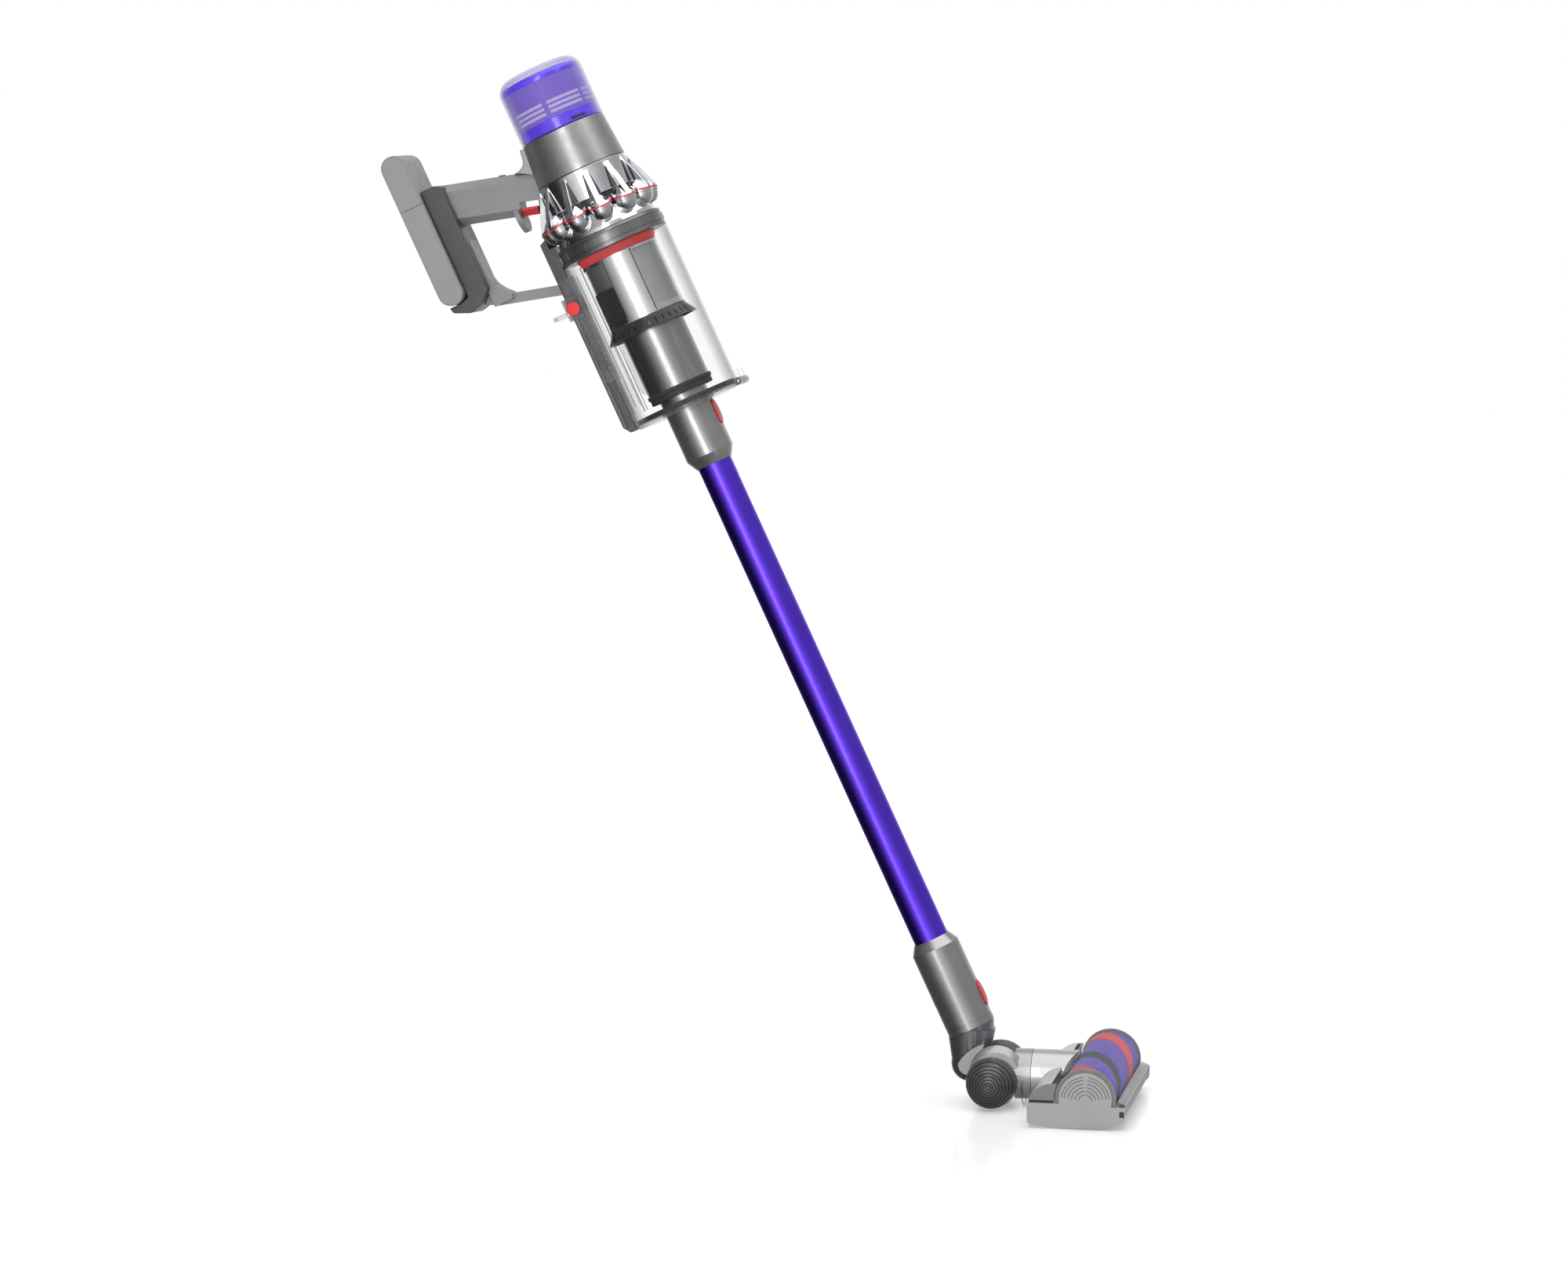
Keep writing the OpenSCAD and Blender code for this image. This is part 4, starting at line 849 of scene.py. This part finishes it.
def make_end_caps():
    """Both end caps with their raised faces, dark marks and the front rail between them."""
    foot = [(86.6, 27.5), (52.2, 27.5, 0.6), (52.2, 4.5, 4), (80, 1.2), (136, 0.6, 2), (158.6, 9.5, 4),
            (159.4, 25, 1.5), (145.6, 25)]
    face = slab(foot + arch(29.2, -14, 190), -HEAD_HALF_W, -121.6, 0.5, 3)
    wide_foot = [(82.6, 26.5), (52.8, 26.5), (52.8, 5.5, 4), (80, 2.2), (136, 1.6), (158, 10, 4), (158.6, 24),
                 (149.6, 24)]
    border = slab(wide_foot + arch(33.4, -12, 192), -122.2, -CAP_INNER_Y, 0.6, 3)
    pod = slab([(53.2, 30.4), (54.4, 33, 2), (58, 38.5, 4), (64, 43.6, 6), (70, 46.6, 6), (77, 48, 6),
                (84.2, 48.2), (82.4, 40), (81.6, 30.4)], -123.4, -CAP_INNER_Y, 0.5, 3)
    rail = slab([(151.6, 13, 1), (158.4, 13, 1), (158.4, 24.8, 1.2), (151.6, 24.8, 1)],
                -RAIL_HALF_W, RAIL_HALF_W, 0.4, 2)
    body = joined(mirrored(joined(border, pod)), rail)
    piece("cap_borders", body, "head", BORDER_GREY, (), FLOOR)
    piece("cap_faces", mirrored(face), "head", CAP_GREY, ["end_caps"], FLOOR)
    piece("cap_vents", mirrored(cap_vents()), "head", BLACK_PLASTIC, (), FLOOR)
    strip = slab([(149.0, 25, 0.4), (158.8, 25, 0.4), (158.8, 27.4, 1.0), (150, 30.5, 0.8)],
                 -RAIL_HALF_W, RAIL_HALF_W, 0.3, 2)
    piece("rail_strip", strip, "head", RAIL_CLEAR, (), FLOOR)


def make_head():
    """Floor head: frame, end caps, duct, clear cover and roller."""
    broken_edges("head_frame", "head", PALE_GREY, 1.0)
    make_end_caps()
    seam = turn(turned(oblong(27.4, 28.12, 33.2, 34.0)), 90, "Y")
    piece("duct_seam", move(seam, 0, 0, DUCT_Z), "head", BLACK_PLASTIC, (), FLOOR)
    broken_edges("clear_cover", "head", CLEAR_COVER, 0.0)
    dressed(["sole_wheels"], RUBBER)
    dressed(["brush_motor", "brush_core"], DARK_GREY)
    make_roller()


# ---------------------------------------------------------------- studio

VIEW_AZIMUTH = math.radians(10.2703)
VIEW_ELEVATION = math.radians(6.2815)
VIEW_ROLL = math.radians(0.0668)
VIEW_DISTANCE = 5.68815
VIEW_TARGET = Vector((0.02465, -0.00061, 0.51462))
VIEW_LENS = 117.7066

GLOW_FRONT, GLOW_FALLOFF = 1.0, 5.0
GLOW_RIGHT, GLOW_ABOVE, GLOW_BASE = 0.3, 0.35, 0.03
WHITE = (1, 1, 1, 1)
FLOOR_RADIUS, FLOOR_DROP = 9, 0.0005
FLOOR_GLOW_NEAR, FLOOR_GLOW_FAR = 0.26, 1.0
FLOOR_NEAR, FLOOR_FAR = 0.4, 1.9


def make_camera():
    forward = Vector((-math.sin(VIEW_AZIMUTH) * math.cos(VIEW_ELEVATION),
                      math.cos(VIEW_AZIMUTH) * math.cos(VIEW_ELEVATION), -math.sin(VIEW_ELEVATION)))
    data = bpy.data.cameras.new("camera")
    data.lens = VIEW_LENS
    data.sensor_width = 36
    data.clip_start = 0.05
    data.clip_end = 60
    camera = bpy.data.objects.new("camera", data)
    camera.rotation_mode = "QUATERNION"
    camera.location = VIEW_TARGET - forward * VIEW_DISTANCE
    upright = forward.to_track_quat("-Z", "Y")
    camera.rotation_quaternion = upright @ Matrix.Rotation(VIEW_ROLL, 3, "Z").to_quaternion()
    bpy.context.scene.collection.objects.link(camera)
    bpy.context.scene.camera = camera


def softbox(name, place, target, size, energy):
    data = bpy.data.lights.new(name, "AREA")
    data.shape = "RECTANGLE"
    data.size, data.size_y = size
    data.energy = energy
    lamp = bpy.data.objects.new(name, data)
    lamp.location = place
    lamp.rotation_mode = "QUATERNION"
    lamp.rotation_quaternion = (Vector(target) - Vector(place)).to_track_quat("-Z", "Y")
    bpy.context.scene.collection.objects.link(lamp)


def make_world():
    """White to the eye. To the object it is bright in front and behind, dim on the right and above."""
    world = bpy.data.worlds.new("studio")
    world.use_nodes = True
    nodes, links = world.node_tree.nodes, world.node_tree.links
    ground = nodes["Background"]
    direction = nodes.new("ShaderNodeTexCoord").outputs["Generated"]

    def toward(vector):
        made = nodes.new("ShaderNodeVectorMath")
        made.operation = "DOT_PRODUCT"
        made.inputs[1].default_value = vector
        links.new(direction, made.inputs[0])
        return made.outputs["Value"]

    def calc(operation, first, second=0.0):
        made = nodes.new("ShaderNodeMath")
        made.operation = operation
        for socket, value in zip(made.inputs, (first, second)):
            if isinstance(value, float):
                socket.default_value = value
            else:
                links.new(value, socket)
        return made.outputs["Value"]

    facing = calc("POWER", calc("ABSOLUTE", toward((0.02, -1.0, 0.0))), GLOW_FALLOFF)
    front = calc("MULTIPLY", facing, GLOW_FRONT)
    right = calc("MULTIPLY", calc("MAXIMUM", toward((1.0, 0.0, 0.0)), 0.0), GLOW_RIGHT)
    above = calc("MULTIPLY", calc("MAXIMUM", toward((0.0, 0.0, 1.0)), 0.0), GLOW_ABOVE)
    total = calc("ADD", calc("ADD", front, right), calc("ADD", above, GLOW_BASE))
    links.new(total, ground.inputs["Strength"])
    ground.inputs["Color"].default_value = WHITE
    seen = nodes.new("ShaderNodeBackground")
    seen.inputs["Color"].default_value = WHITE
    mix = nodes.new("ShaderNodeMixShader")
    path = nodes.new("ShaderNodeLightPath")
    links.new(path.outputs["Is Camera Ray"], mix.inputs["Fac"])
    links.new(ground.outputs["Background"], mix.inputs[1])
    links.new(seen.outputs["Background"], mix.inputs[2])
    links.new(mix.outputs["Shader"], nodes["World Output"].inputs["Surface"])
    bpy.context.scene.world = world


def make_floor():
    bm = bmesh.new()
    bmesh.ops.create_circle(bm, cap_ends=True, cap_tris=False, segments=96, radius=FLOOR_RADIUS)
    mesh = bpy.data.meshes.new("floor")
    bm.to_mesh(mesh)
    bm.free()
    finish = Finish("pale_floor", 0.0, 0.22)
    at = finish.coords()
    finish.tone(finish.noise(at, 3, 3), (0.82, 0.82, 0.82), (0.86, 0.86, 0.86))
    reach = finish.nodes.new("ShaderNodeVectorMath")
    reach.operation = "LENGTH"
    finish.links.new(at, reach.inputs[0])
    glow = finish.ranged(reach.outputs["Value"], FLOOR_GLOW_NEAR, FLOOR_GLOW_FAR, FLOOR_NEAR, FLOOR_FAR)
    finish.links.new(glow, finish.shader.inputs["Emission Strength"])
    finish.shader.inputs["Emission Color"].default_value = WHITE
    finish.shader.inputs["Specular IOR Level"].default_value = 0.25
    mesh.materials.append(finish.material)
    floor = bpy.data.objects.new("floor", mesh)
    floor.location = (0, 0, -FLOOR_DROP)
    floor.visible_glossy = False
    bpy.context.scene.collection.objects.link(floor)


def make_studio():
    make_camera()
    make_world()
    make_floor()
    softbox("front_box", (-0.1, -3.4, 1.3), (0, 0, 0.6), (0.8, 3.2), 30)
    softbox("top_box", (0.3, -0.4, 3.4), (0.1, 0, 0), (4.5, 4.5), 95)
    bpy.context.scene.view_settings.view_transform = "Standard"


# ---------------------------------------------------------------- the whole cleaner

make_studio()
make_filter()
make_housing()
make_crown()
make_bin_collar()
make_shroud()
make_bin()
make_handle()
make_battery()
make_wand()
make_wheels()
make_head()
